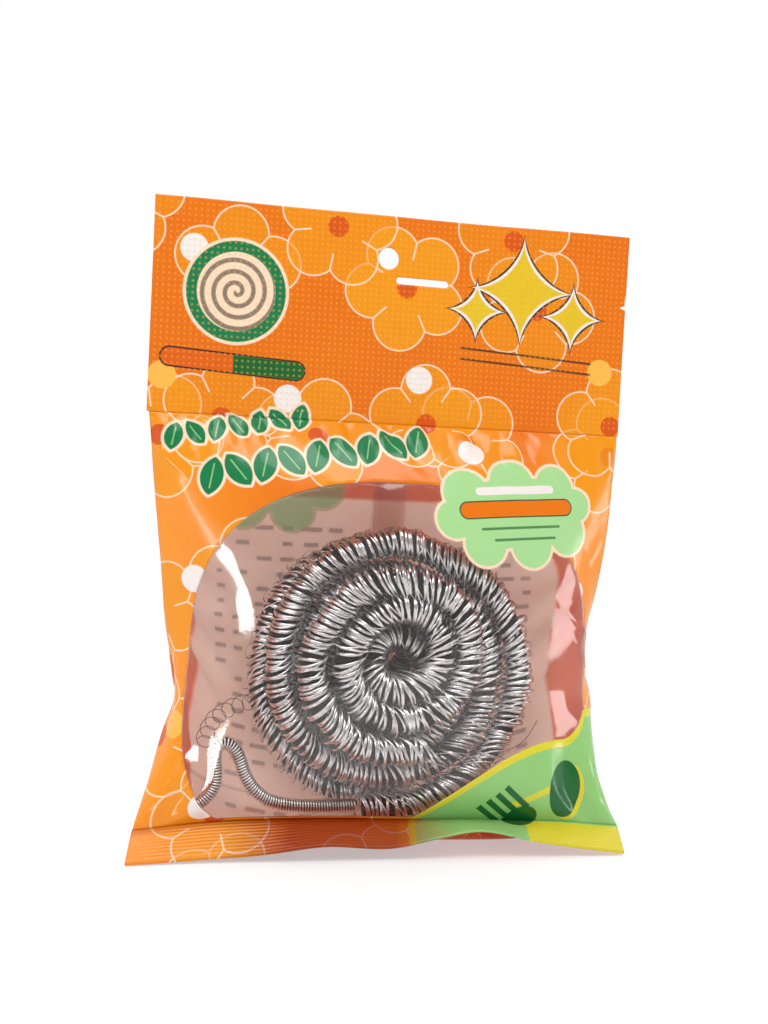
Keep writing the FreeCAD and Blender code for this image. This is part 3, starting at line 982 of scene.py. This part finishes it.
def mixed(tree, share, first, second):
    """A shader that is a second one by a share and a first one for the rest."""
    return add_node(tree, "MixShader", {0: share, 1: first.outputs[0], 2: second.outputs[0]})


def glowing(tree, shader, colour, share, output):
    """Lets a share of the light through a film."""
    glow = add_node(tree, "BsdfTranslucent", {"Color": colour})
    set_inputs(tree, output, {"Surface": mixed(tree, share, shader, glow).outputs[0]})


EMBOSS_PITCH = 1.75
EMBOSS_START = 1.0
CRIMP_PITCH = 1.1
CRIMP_START = 0.6


def seal_height(u, v, length):
    """The pressed grid of the header seal and the ribs of the bottom seal, each from -1 to 1."""
    turn = 2 * math.pi / EMBOSS_PITCH
    wave = (math_node("COSINE", u * turn) + math_node("COSINE", v * turn)) * 0.5
    header = math_node("SUBTRACT", v, length + EMBOSS_START, clamp=True)
    rib = math_node("SINE", v * (2 * math.pi / CRIMP_PITCH))
    strip = math_node("MULTIPLY", v + CRIMP_START, -1.0, clamp=True)
    return wave * header, rib * strip


PANEL_CENTRE = (0.0, 73.0)
PANEL_HALF_SIZE = (62.0, 60.0)
PANEL_ROUND = 32.0
PANEL_MARGIN = 9.0
LINE_PITCH = 5.2
LINE_HALF_SHARE = 0.14
WORD_PITCH = 8.0
WORD_HALF_SHARES = (0.18, 0.26)
EMPTY_WORD_SHARE = 0.2
WORD_SEED = 3.0


def panel_gap(u, v):
    """How far a place lies outside the pale panel on the back."""
    x = most(abs(u - PANEL_CENTRE[0]) - (PANEL_HALF_SIZE[0] - PANEL_ROUND), 0.0)
    y = most(abs(v - PANEL_CENTRE[1]) - (PANEL_HALF_SIZE[1] - PANEL_ROUND), 0.0)
    return root(x * x + y * y) - PANEL_ROUND


def ruled_lines(paint, u, v, strength):
    """Rows of plain grey bars on the back's panel."""
    row = math_node("FLOOR", v / LINE_PITCH)
    word = math_node("FLOOR", u / WORD_PITCH)
    draws = chance(paint.tree, word, row, WORD_SEED)
    level = abs(v / LINE_PITCH - row - 0.5) - LINE_HALF_SHARE
    half = draws[1] * WORD_HALF_SHARES[1] + WORD_HALF_SHARES[0]
    spread = abs(u / WORD_PITCH - word - 0.5) - half
    shown = math_node("GREATER_THAN", draws[0], EMPTY_WORD_SHARE)
    bar = inside(level, soft=0.08) * inside(spread, soft=0.04) * shown
    paint.lay(GREY_INK, bar * inside(panel_gap(u, v) + PANEL_MARGIN), strength)


def back_cloud_gap(u, v):
    """How far a place lies outside the cloud on the back."""
    return badge_gap(-u, v - (BACK_MIDDLE_LENGTH - FRONT_MIDDLE_LENGTH))


def front_design(paint, u, v):
    for row in LEAF_ROWS:
        leaf_row(paint, u, v, *row)
    emblems(paint, u, v)
    corner(paint, u, v)
    badge(paint, u, v)


def back_design(paint, u, v):
    paint.lay(PALE_SALMON, inside(panel_gap(u, v)))
    ruled_lines(paint, u, v, strength=0.6)
    cloud(paint, back_cloud_gap(u, v))


BODY_FADE = 6.0
BODY_OVERLAP = 2.0
SIDE_FADE = 30.0
SIDE_START = 1.3
SIDE_PALENESS = 0.6
BODY_PALENESS = 0.2
# Where the painted shade lies on the bottom strip, and the painted shadow under its fold
SHADE_CENTRE = -13.0
SHADE_FADE = 20.0
SHADE_WIDTH_SHARE = 1.8
FOLD_SHADE = 4.0
FOLD_SHADE_END = 12.0
DIMPLE_HEIGHT = 0.11
RIB_HEIGHT = 0.04
CRINKLE_HEIGHT = 0.25


def ground(paint, u, v, length):
    """The print's orange, clouded, and paler on the body of the pouch and at its sides."""
    clouds = ramp(noise(paint.tree, 28.0, detail=3.0), slope=2.4, level=-0.9)
    paint.lay(DEEP_ORANGE, clouds, strength=0.6)
    body = ramp(v, slope=-1 / BODY_FADE, level=(length + BODY_OVERLAP) / BODY_FADE)
    sides = ramp(abs(u), slope=1 / SIDE_FADE, level=-SIDE_START)
    paint.lay(LIGHT_ORANGE, body * (sides * SIDE_PALENESS + BODY_PALENESS))


def strip_painted_shade(paint, u, v):
    """Painted shade on the bottom strip: a deep red patch across its middle where it lies in the pouch's
    shadow, and a painted shadow just under its fold.
    """
    shaded_middle = ramp(abs(u - SHADE_CENTRE), slope=-1 / SHADE_FADE, level=SHADE_WIDTH_SHARE)
    paint.lay(STRIP_SHADE_RED, shaded_middle * inside(v, soft=1.0), strength=0.85)
    near_fold = ramp(v, slope=1 / FOLD_SHADE, level=1.0) * inside(v, soft=0.4)
    paint.lay(STRIP_SHADE_RED, near_fold * inside(u - FOLD_SHADE_END, soft=4.0), strength=0.6)


def printed_film(name, seed, length, glow, design=None):
    """Glossy printed film, with a design or with the flowers and dots alone."""
    material, tree, shader, output = new_material(name)
    u, v = film_place(tree)
    paint = Paint(tree, ORANGE)
    ground(paint, u, v, length)
    for number, layer in enumerate(FLOWER_LAYERS):
        flowers(paint, u + LAYER_SHIFT[0] * number, v + LAYER_SHIFT[1] * number, *layer, seed + number)
    dots(paint, u, v)
    if design:
        design(paint, u, v)
    # Painted shade on the bottom strip
    strip_painted_shade(paint, u, v)
    dimple, rib = seal_height(u, v, length)
    # Painted highlights on the raised dots of the header's pressed grid
    paint.lay(PALE_AMBER, ramp(dimple, slope=1.2, level=-0.45), strength=0.5)
    # Painted shade along the ribs of the bottom seal
    paint.lay(DEEP_ORANGE, ramp(rib, slope=1.0, level=-0.3), strength=0.25)
    crinkle = noise(tree, 55.0, detail=4.0)
    grain(tree, shader, dimple * DIMPLE_HEIGHT + rib * RIB_HEIGHT + crinkle * CRINKLE_HEIGHT)
    set_inputs(tree, shader, {
        "Base Color": paint.colour, "Roughness": noise(tree, 180.0) * 0.16 + 0.12, "Specular IOR Level": 0.3,
        "Coat Weight": 0.25, "Coat Roughness": 0.06})
    glowing(tree, shader, paint.colour, glow, output)
    return material


def inner_film(name, printed_lines):
    """The unprinted face of the film, through which the print shows faintly."""
    material, tree, shader, output = new_material(name)
    u, v = film_place(tree)
    paint = Paint(tree, SALMON)
    paint.lay(PALE_SALMON, ramp(noise(tree, 22.0, detail=3.0), slope=2.2, level=-0.6))
    if printed_lines:
        paint.lay(INNER_ORANGE, inside(-panel_gap(u, v), soft=1.5), strength=0.85)
        ruled_lines(paint, u, v, strength=0.34)
        paint.lay(MUTED_GREEN, inside(back_cloud_gap(u, v)), strength=0.4)
    set_inputs(tree, shader, {"Base Color": paint.colour, "Roughness": 0.4})
    grain(tree, shader, noise(tree, 60.0, detail=4.0) * 0.3)
    glowing(tree, shader, paint.colour, 0.5, output)
    return material


FACE_SHINE_SHARE = 0.04
FACING_POWER = 5.0
SCUFF_SHARE = 0.03
CLEAR_TINT = (0.985, 0.975, 0.97, 1.0)


def clear_film(name):
    """Clear glossy film with a faint haze and fine scuffs."""
    material, tree, haze, output = new_material(name)
    set_inputs(tree, haze, {"Base Color": linear(WHITE), "Roughness": 0.3})
    clear = add_node(tree, "BsdfTransparent", {"Color": CLEAR_TINT})
    gloss = add_node(tree, "BsdfGlossy", {"Roughness": 0.06})
    grain(tree, gloss, noise(tree, 70.0, detail=4.0) * 0.06)
    facing = Field(tree, add_node(tree, "LayerWeight", {"Blend": 0.5}).outputs["Facing"])
    shine = facing**FACING_POWER * (1 - FACE_SHINE_SHARE) + FACE_SHINE_SHARE
    scuff = ramp(noise(tree, 120.0, detail=4.0), slope=SCUFF_SHARE, level=0.0)
    hazed = mixed(tree, scuff, mixed(tree, shine, clear, gloss), haze)
    set_inputs(tree, output, {"Surface": hazed.outputs[0]})
    return material


STEEL_SHADE = 0.82


def steel(name, colour, low_rough, high_rough):
    """Drawn steel wire, a little uneven in tone and polish."""
    material, tree, shader, _ = new_material(name)
    paint = Paint(tree, colour)
    shade = ramp(noise(tree, 400.0, detail=3.0), slope=2.0, level=-0.7)
    paint.lay(tuple(int(STEEL_SHADE * c) for c in colour), shade)
    rough = noise(tree, 900.0) * (high_rough - low_rough) + low_rough
    set_inputs(tree, shader, {"Base Color": paint.colour, "Metallic": 1.0, "Roughness": rough})
    grain(tree, shader, noise(tree, 2500.0) * 0.02)
    return material


front_print = printed_film("front_print", 1.0, FRONT_MIDDLE_LENGTH, glow=0.15, design=front_design)
back_print = printed_film("back_print", 7.0, BACK_MIDDLE_LENGTH, glow=0.55, design=back_design)
seal_print = printed_film("seal_print", 7.0, FRONT_MIDDLE_LENGTH, glow=0.15)
inner_plain = inner_film("inner_film", printed_lines=False)
inner_lined = inner_film("inner_film_back", printed_lines=True)
window_clear = clear_film("window_clear")
scrubber_steel = steel("scrubber_steel", (252, 252, 253), 0.16, 0.32)
spring_steel = steel("spring_steel", (252, 250, 247), 0.26, 0.4)
# Near-black steel for the cores of the ropes and the spring: painted shade in the deep gaps between their
# curls
shaded_core_steel = steel("shaded_core_steel", (22, 22, 23), 0.5, 0.75)
stray_steel = steel("stray_steel", (120, 100, 96), 0.3, 0.5)


def place_on(made, body, slot, *nodes):
    """Puts a finished piece on its body in place of its nodes."""
    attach(made, body)
    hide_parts(*nodes)


# Pouch films
MESH_STEP = 0.75
front_grid = blown_film(
    -1, FRONT_MIDDLE_LENGTH, FRONT_SIDE_LENGTH, gore_power=1.5, depth=22.0, push=0.003, weight=0.0, seed=3)
back_grid = blown_film(
    1, BACK_MIDDLE_LENGTH, BACK_SIDE_LENGTH, gore_power=0.7, depth=42.0, push=0.025, weight=0.16, seed=5)

u, v = film_lattice((-half_width, 0), (half_width, FRONT_MIDDLE_LENGTH), MESH_STEP)
u, v, sides = snapped(u, v, window_gap, MESH_STEP)
front_pieces = (
    ("front_film", 1, [front_print, inner_plain], "printed_film", "front_panel"),
    ("clear_window", -1, [window_clear, window_clear], "clear_film", "window_film"))
for name, wanted, materials, slot, node in front_pieces:
    made = film_piece(name, front_grid, u, v, FRONT_MIDDLE_LENGTH, cut_faces(sides, wanted), materials, -1)
    place_on(made, "pouch", slot, node)

BASE_LENGTH = 34.0
back_spans = (
    ("back_film_left", (-half_width, BASE_LENGTH), (0, BACK_MIDDLE_LENGTH), "back_panel_left"),
    ("back_film_right", (0, BASE_LENGTH), (half_width, BACK_MIDDLE_LENGTH), "back_panel_right"),
    ("bottom_film", (-half_width, 0), (half_width, BASE_LENGTH), "bottom_panel"))
for name, low, high, node in back_spans:
    u, v = film_lattice(low, high, 2 * MESH_STEP)
    made = film_piece(
        name, back_grid, u, v, BACK_MIDDLE_LENGTH, plain_faces(u.shape), [back_print, inner_lined], 1)
    place_on(made, "pouch", "back_film", node)

# Fin seal, a flap that lies on the back film
FIN_LIFT = 0.45
FIN_CURL = 0.5
FIN_FOOT_MARGIN = 4.0
FIN_TOP_MARGIN = 1.0
fin_start = BASE_LENGTH + FIN_FOOT_MARGIN
fin_end = BACK_MIDDLE_LENGTH - FIN_TOP_MARGIN
u, v = film_lattice((0, fin_start), (fin_width, fin_end), MESH_STEP)
lift = FIN_LIFT + FIN_CURL * (u / fin_width) ** 2
fin_seal = film_piece(
    "fin_seal", back_grid, u, v, BACK_MIDDLE_LENGTH, plain_faces(u.shape), [back_print, inner_plain], 1, lift)
place_on(fin_seal, "pouch", "back_film", "back_fin_seal")

# Header, pressed flat, with its hang hole, slot and tear notch
HOLE_RADIUS = 3.3
SLOT_START = 2.6
SLOT_LENGTH = 17.0
SLOT_WIDTH = 2.2
SLOT_DROP = 19.5
NOTCH_DROP = 22.5
NOTCH_DEPTH = 2.0
NOTCH_WIDTH = 1.6
HEADER_STEP = 0.6
HEADER_WAVE = 0.7
# Length, lean, phase and share of each wave across the header
HEADER_WAVES = ((23.0, 1.2, 0.0, 1.0), (9.5, -2.0, 1.0, 0.6))
HEADER_SWELL_SHARE = 0.62
DENT_DEPTH = 1.3
DENT_PLACE = (6.0, 0.52)
DENT_SIZE = (13.0, 0.2)
hole_centre = (hang_hole[0], hang_hole[2] - foot[2] + FRONT_MIDDLE_LENGTH)
slot_ends = [
    (hang_hole[0] + SLOT_START + reach, header_top - SLOT_DROP)
    for reach in (SLOT_WIDTH / 2, SLOT_LENGTH - SLOT_WIDTH / 2)]


def header_gap(u, v):
    """Positive on the film, negative in its holes."""
    hole = round_gap(u, v, hole_centre, HOLE_RADIUS)
    slot = bar_gap(u, v, *slot_ends, SLOT_WIDTH / 2)
    deep = (u - (half_width - NOTCH_DEPTH)) / NOTCH_DEPTH
    notch = abs(v - (header_top - NOTCH_DROP)) - deep * NOTCH_WIDTH / 2
    return least(hole, slot, notch)


def header_wave(u, v):
    """How far the sealed sheet stands forward or back."""
    up = (v - FRONT_MIDDLE_LENGTH) / (header_top - FRONT_MIDDLE_LENGTH)
    bow = sum(share * np.sin(u / length + lean * up + phase) for length, lean, phase, share in HEADER_WAVES)
    aside = (u - DENT_PLACE[0]) / DENT_SIZE[0]
    above = (up - DENT_PLACE[1]) / DENT_SIZE[1]
    dent = -DENT_DEPTH * np.exp(-(aside**2) - above**2)
    return np.sin(np.clip(up, 0, 1) * np.pi * HEADER_SWELL_SHARE) * (HEADER_WAVE * bow + dent)


u, v = film_lattice((-half_width, FRONT_MIDDLE_LENGTH), (half_width, header_top), HEADER_STEP)
u, v, sides = snapped(u, v, header_gap, HEADER_STEP)
points = np.stack([u, header_wave(u, v), v - FRONT_MIDDLE_LENGTH + foot[2]], -1)
header = film_shell(
    "header_seal", points, cut_faces(sides, 1), [front_print, seal_print], u, v, 2 * ply, offset=0.0)
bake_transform(header)
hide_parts("header_front_ply", "header_back_ply")

# Bottom strip, two plies sealed in ribs and bent forward
STRIP_FOOT_SHARES = (
    (-1, 0.02), (-0.75, 0.08), (-0.5, 0.2), (-0.25, 0.48), (0.04, 0.4), (0.2, 0.68), (0.36, 0.9),
    (0.62, 0.52), (0.8, 0.28), (1, 0.06))
STRIP_STEP = 0.75
STRIP_LEAN = 2.2
STRIP_SAG = 0.8
SAG_BACK_SHARE = 0.3
SAG_UP_SHARE = 0.5
u, v = film_lattice((-half_width, -strip_length), (half_width, 0), STRIP_STEP)
top = fold_height(u / half_width)
drop = top - fold[2] * curve_through(STRIP_FOOT_SHARES, u / half_width) - FLOOR_CLEARANCE
down = -v / strip_length
reach = np.sqrt(np.maximum(strip_length**2 - drop**2, 1.0))
sag = STRIP_SAG * np.sin(np.pi * down)
points = np.stack([
    u - STRIP_LEAN * down,
    fold[1] - reach * down + SAG_BACK_SHARE * sag,
    top - drop * down + sag * SAG_UP_SHARE], -1)
strip = film_shell(
    "bottom_strip", points, plain_faces(u.shape), [front_print, seal_print], u, v, 2 * ply, offset=0.0)
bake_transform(strip)
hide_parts("bottom_seal_front_ply", "bottom_seal_back_ply")

# Scrubber. Each coil is one rope of curled wire that winds in by half turns on a middle layer,
# climbs in the innermost half turn and winds out again on the outer layer.
CORE_SHARE = 0.75
OUTER_TURNS_LESS = 3
ROUTE_STEP = 0.25
turns_in = int((outer_radius - CORE_SHARE * ROPE) / (rope_pitch / 2))
turns_in -= 1 - turns_in % 2
turns_out = turns_in - OUTER_TURNS_LESS


def coil_route():
    """The rope's line as points, with the point where it leaves the middle layer."""
    rows = []
    down = outer_radius
    radius = outer_radius
    right = 1
    depth = -rope_pitch / 2
    start = np.linspace(-ROPE, 0, int(ROPE / ROUTE_STEP), endpoint=False)
    rows.append(np.stack([start, np.full_like(start, depth), np.full_like(start, -down)], 1))
    for turn in range(turns_in + 1 + turns_out):
        count = int(math.pi * radius / ROUTE_STEP)
        share = np.linspace(0, 1, count, endpoint=False)
        angle = math.pi * share
        centre = down - right * radius
        x = right * radius * np.sin(angle)
        z = -(centre + right * radius * np.cos(angle))
        climb = rope_pitch * share**2 * (3 - 2 * share) if turn == turns_in else 0 * share
        rows.append(np.stack([x, depth - climb, z], 1))
        if turn == turns_in:
            leaving = sum(len(row) for row in rows) - count // 2
            depth -= rope_pitch
        down = centre - right * radius
        right = -right
        radius += rope_pitch / 2 if turn >= turns_in else -rope_pitch / 2
    end = np.linspace(0, ROPE, int(ROPE / ROUTE_STEP)) * right
    rows.append(np.stack([end, np.full_like(end, depth), np.full_like(end, -down)], 1))
    return np.concatenate(rows) + ball_centre, leaving


def swept(line, side, binormal, width, thickness, corners):
    """The points and faces of a wire with an oval section along a line."""
    turn = np.arange(corners) * 2 * math.pi / corners
    ring = side[:, None] * (np.cos(turn) * thickness / 2)[None, :, None]
    ring = ring + binormal[:, None] * (np.sin(turn) * width / 2)[None, :, None]
    points = (line[:, None] + ring).reshape(-1, 3)
    first = np.arange(len(line) - 1)[:, None] * corners
    here = np.arange(corners)[None, :]
    there = (here + 1) % corners
    quads = np.stack([first + here, first + there, first + there + corners, first + here + corners], -1)
    faces = [tuple(face) for face in quads.reshape(-1, 4).tolist()]
    last = (len(line) - 1) * corners
    faces.append(tuple(range(corners - 1, -1, -1)))
    faces.append(tuple(range(last, last + corners)))
    return points, faces


DEPTH_WAY = np.array([0.0, 1.0, 0.0])
SLOPE_REACH = 0.6
ROUTE_END_MARGIN = 0.01


def rope_frame(route, at):
    """Places on a route with its forward direction and two directions across it."""
    lengths = np.concatenate([[0], np.cumsum(np.linalg.norm(np.diff(route, axis=0), axis=1))])

    def spot(reach):
        return np.stack([np.interp(at + reach, lengths, route[:, k]) for k in range(3)], 1)

    forward = unit(spot(SLOPE_REACH) - spot(-SLOPE_REACH))
    first = unit(np.cross(DEPTH_WAY, forward))
    return spot(0.0), forward, first, np.cross(forward, first)


def route_length(route):
    return np.linalg.norm(np.diff(route, axis=0), axis=1).sum()


def winding_frame(route, at):
    """The rope frame at lengths that are held within the route's ends."""
    return rope_frame(route, np.clip(at, ROUTE_END_MARGIN, route_length(route) - ROUTE_END_MARGIN))


def turns_along(route, pitch):
    """The turns wound by each step of a winding."""
    return np.arange(int(route_length(route) / pitch * CURL_STEPS)) / CURL_STEPS


def around(first, second, angle):
    """Directions at angles from a first towards a second."""
    return first * np.cos(angle)[:, None] + second * np.sin(angle)[:, None]


# How curls differ: pitch, radius, wire width, unevenness and slant of each layer of wire
CURLS = ((2.0, 4.1, 1.1, 0.4, 1.0), (3.1, 4.5, 0.85, 0.6, 1.6), (6.3, 4.8, 0.6, 0.8, 2.4))
CURL_STEPS = 16
CURL_SLIP = 0.35
CURL_TWIST = 0.5
SLANT_SPREAD = 0.9
SLANT_PHASE = 0.8
TUFT = 1.6
TUFT_LEVEL = 1.4
WIRE_THICKNESS = 0.24
WIRE_CORNERS = 6
ROUND_CORNERS = 8
STRAY_REACH = 0.6
TOP_DRAW_IN = 1.6
ROPE_STRAY = 0.55
ROPE_STRAY_EVERY = 60
CORE_DIAMETER = 7.0
CORE_END = 2.0
LAYER_SEED = 20


def kept_in(line):
    """Holds stray curls in the room that the films leave the scrubber."""
    away = line - ball_centre
    raised = np.clip(away[:, 2] / (ball_size / 2), 0, 1)
    deep = ball_half_depth + STRAY_REACH - TOP_DRAW_IN * raised
    away[:, 1] = np.clip(away[:, 1], -deep, deep)
    away[:, 2] = np.maximum(away[:, 2], -ball_size / 2 - STRAY_REACH)
    return ball_centre + away


def curled_wire(route, pitch, radius, width, uneven, slant, seed):
    """A flat wire curled round a route, with uneven slanting curls and a few loose tufts."""
    generator = np.random.default_rng(seed)
    turn = turns_along(route, pitch)
    count = len(turn)
    at = (turn + wander(generator, count, 2 * CURL_STEPS, CURL_SLIP)) * pitch
    place, forward, first, second = winding_frame(route, at)
    angle = 2 * math.pi * turn + wander(generator, count, 5 * CURL_STEPS, CURL_TWIST)
    size = radius + wander(generator, count, CURL_STEPS, uneven)
    size += TUFT * np.maximum(wander(generator, count, CURL_STEPS, 1.0) - TUFT_LEVEL, 0)
    lean = slant + wander(generator, count, 3 * CURL_STEPS, SLANT_SPREAD * slant)
    out = around(first, second, angle)
    line = place + out * size[:, None] + forward * (lean * np.cos(angle + SLANT_PHASE))[:, None]
    return swept(kept_in(line), out, forward, width, WIRE_THICKNESS, WIRE_CORNERS)


def packed_core(route, diameter, end):
    """A round tube along a route: the inside of a rope, which near-black steel makes into painted shade seen
    only between its curls.
    """
    total = route_length(route)
    place, _, first, second = rope_frame(route, np.linspace(end, total - end, int(total)))
    return swept(place, first, second, diameter, diameter, ROUND_CORNERS)


def joined_mesh(name, parts, materials):
    """One object from several sets of points and faces, each with its own material."""
    points = []
    faces = []
    slots = []
    start = 0
    for slot, (part_points, part_faces) in enumerate(parts):
        points.append(part_points)
        faces += [tuple(corner + start for corner in face) for face in part_faces]
        slots += [min(slot, len(materials) - 1)] * len(part_faces)
        start += len(part_points)
    made = mesh_object(name, np.concatenate(points), faces, materials)
    made.data.polygons.foreach_set("material_index", np.array(slots, np.int32))
    return made


def strayed(line, seed):
    """A rope's line, wandering a little from its even spiral."""
    generator = np.random.default_rng(seed)
    aside = unit(np.cross(DEPTH_WAY, np.gradient(line, axis=0)))
    return line + aside * wander(generator, len(line), ROPE_STRAY_EVERY, ROPE_STRAY)[:, None]


route, leaving = coil_route()
about_ball = np.array([-1.0, -1.0, 1.0])
coil_parts = (
    ("coil_front_middle", route[:leaving], 1, 11, "scrubber_coil_front"),
    ("coil_front_face", route[leaving:], 1, 12, "scrubber_coil_front"),
    ("coil_back_middle", route[:leaving], -1, 13, "scrubber_coil_back"),
    ("coil_back_face", route[leaving:], -1, 14, "scrubber_coil_back"))
for name, line, front, seed, node in coil_parts:
    if front < 0:
        line = (line - ball_centre) * about_ball + ball_centre
    line = strayed(line, seed)
    # Each rope's near-black core is painted shade in the gaps between its curls
    wires = [packed_core(line, CORE_DIAMETER, CORE_END)]
    for layer, curl in enumerate(CURLS, 1):
        wires.append(curled_wire(line, *curl, seed + LAYER_SEED * layer))
    made = joined_mesh(name, wires, [shaded_core_steel, scrubber_steel])
    place_on(made, "scrubber", "curled_wire", node)

# Hanging loop, a close-wound spring on a smooth route
LOOP_CORE_END = 0.3


def spring(route, pitch, radius, wire):
    """A round wire wound closely about a route."""
    turn = turns_along(route, pitch)
    place, forward, first, second = winding_frame(route, turn * pitch)
    out = around(first, second, 2 * math.pi * turn)
    return swept(place + out * radius, out, forward, wire, wire, ROUND_CORNERS)


# The spring's near-black core is painted shade in the gaps between its coils
loop_wires = [
    packed_core(loop_line, SPRING - 2 * SPRING_WIRE, LOOP_CORE_END),
    spring(loop_line, SPRING_PITCH, (SPRING - SPRING_WIRE) / 2, SPRING_WIRE)]
loop = joined_mesh("loop_spring", loop_wires, [shaded_core_steel, spring_steel])
place_on(loop, "loop", "spring_wire", "hanging_loop")

# Thin wire ends that stray from the rim
CURL_ROUTE_SHARES = ((-0.47, 0.0, -0.10), (-0.55, 0.0, -0.12), (-0.62, 0.01, -0.19), (-0.63, 0.02, -0.27))
END_ROUTE_SHARES = ((0.46, 0.0, -0.27), (0.5, -0.01, -0.25), (0.53, -0.02, -0.2), (0.55, -0.02, -0.16))
STRAY_WIRE = 0.24
STRAY_CURL_PITCH = 3.3
STRAY_CURL_RADIUS = 2.6
STRAY_CURL_RISE = 0.4
STRAY_END = 0.1


def flat_curl(route, pitch, radius, wire):
    """A thin wire that runs along a route in flat loops."""
    turn = turns_along(route, pitch)
    place, forward, first, second = winding_frame(route, turn * pitch)
    line = place + radius * around(first, forward, 2 * math.pi * turn)
    line += second * (STRAY_CURL_RISE * turn)[:, None]
    side = np.cross(unit(np.gradient(line, axis=0)), second)
    return swept(line, side, second, wire, wire, WIRE_CORNERS)


curl_line = smooth_route("curl_route", ball_centre, CURL_ROUTE_SHARES)
end_line = smooth_route("end_route", ball_centre, END_ROUTE_SHARES)
stray_wires = [
    flat_curl(curl_line, STRAY_CURL_PITCH, STRAY_CURL_RADIUS, STRAY_WIRE),
    packed_core(end_line, STRAY_WIRE, STRAY_END)]
stray = joined_mesh("stray_wires", stray_wires, [stray_steel])
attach(stray, "scrubber")


# Stage: a pale floor, a white surround, soft lamps and the camera
BACKDROP_WHITE = (255, 255, 255)
FLOOR_WHITE = (253, 253, 253)
FLOOR_SIZE = 8.0
FADE_START = 0.07
FADE_WIDTH = 0.14
NEAR_WHITE_SHARE = 0.42
LAMP_AIM = (0.0, 0.0, 0.09)
SURROUND_LEAST = 0.4
SURROUND_RANGE = 0.55


def on_rays(tree, *kinds):
    """1 for rays of the named kinds and 0 for others."""
    path = add_node(tree, "LightPath")
    return most(*(Field(tree, path.outputs[f"Is {kind} Ray"]) for kind in kinds))


def stage_material(name, colour):
    """A pale floor that takes the object's shadow nearby and fades to white further off."""
    material, tree, shader, output = new_material(name)
    set_inputs(tree, shader, {"Base Color": linear(colour), "Roughness": 0.6, "Specular IOR Level": 0.1})
    x, y, _ = separated(tree, add_node(tree, "TexCoord").outputs["Object"])
    far = ramp(root(x * x + y * y), slope=1 / FADE_WIDTH, level=-FADE_START / FADE_WIDTH)
    whiteness = far * (1 - NEAR_WHITE_SHARE) + NEAR_WHITE_SHARE
    share = on_rays(tree, "Camera", "Glossy", "Transmission") * whiteness
    white = add_node(tree, "Emission", {"Color": linear(BACKDROP_WHITE)})
    set_inputs(tree, output, {"Surface": mixed(tree, share, shader, white).outputs[0]})
    return material


half_floor = FLOOR_SIZE / 2
floor_mesh = bpy.data.meshes.new("floor")
floor_corners = [(x * half_floor, y * half_floor, 0) for x, y in ((-1, -1), (1, -1), (1, 1), (-1, 1))]
floor_mesh.from_pydata(floor_corners, [], [(0, 1, 2, 3)])
floor_mesh.materials.append(stage_material("floor", FLOOR_WHITE))
floor = bpy.data.objects.new("floor", floor_mesh)
bpy.context.scene.collection.objects.link(floor)


def lamp(name, place, size, power):
    """A soft rectangular lamp aimed at the object, in metres and watts."""
    light = bpy.data.lights.new(name, "AREA")
    light.shape = "RECTANGLE"
    light.size, light.size_y = size
    light.energy = power
    holder = bpy.data.objects.new(name, light)
    holder.location = place
    holder.rotation_euler = (Vector(LAMP_AIM) - Vector(place)).to_track_quat("-Z", "Y").to_euler()
    bpy.context.scene.collection.objects.link(holder)


lamp("left_strip", (-0.43, -0.42, 0.085), size=(0.08, 0.055), power=0.2)
lamp("right_strip", (0.52, -0.15, 0.085), size=(0.08, 0.13), power=0.2)
lamp("upper_left", (-0.35, -0.5, 0.85), size=(0.45, 0.45), power=1.75)
lamp("front_top", (0.05, -0.42, 0.85), size=(0.60, 0.35), power=3.2)
lamp("top_back", (0.0, 0.35, 0.8), size=(0.90, 0.50), power=2.0)


def studio_world():
    """A white surround that is dimmer on the side that the front of the pouch faces."""
    world = bpy.data.worlds.new("studio")
    world.use_nodes = True
    tree = world.node_tree
    tree.nodes.clear()
    way = separated(tree, add_node(tree, "TexCoord").outputs["Generated"])
    behind = ramp(way[1], slope=1.1, level=0.75)
    fill = behind * SURROUND_RANGE + SURROUND_LEAST
    lit = most(on_rays(tree, "Camera", "Transmission"), on_rays(tree, "Glossy") * behind, fill)
    sky = add_node(tree, "Background", {"Color": linear(BACKDROP_WHITE), "Strength": lit})
    add_node(tree, "OutputWorld", {"Surface": sky.outputs[0]})
    return world


bpy.context.scene.world = studio_world()

CAMERA_AZIMUTH = -13.2
CAMERA_ELEVATION = 2.69
CAMERA_ROLL = 2.86
CAMERA_DISTANCE = 404.1
CAMERA_AIM = (-1.1, 0.0, 101.0)
IMAGE_HEIGHT_PX = 1024
FOCAL_LENGTH_PX = 1300
SENSOR = 36.0
azimuth = math.radians(CAMERA_AZIMUTH)
elevation = math.radians(CAMERA_ELEVATION)
back = Vector((
    math.sin(azimuth) * math.cos(elevation), -math.cos(azimuth) * math.cos(elevation), math.sin(elevation)))
camera_data = bpy.data.cameras.new("camera")
camera_data.sensor_fit = "VERTICAL"
camera_data.sensor_height = SENSOR
camera_data.lens = FOCAL_LENGTH_PX / IMAGE_HEIGHT_PX * SENSOR
camera_data.dof.use_dof = False
camera = bpy.data.objects.new("camera", camera_data)
camera.location = (Vector(CAMERA_AIM) + back * CAMERA_DISTANCE) * MM
facing = (-back).to_track_quat("-Z", "Y")
camera.rotation_euler = (facing.to_matrix() @ Matrix.Rotation(math.radians(CAMERA_ROLL), 3, "Z")).to_euler()
bpy.context.scene.collection.objects.link(camera)
bpy.context.scene.camera = camera
bpy.context.scene.view_settings.view_transform = "Standard"

bpy.context.view_layer.update()
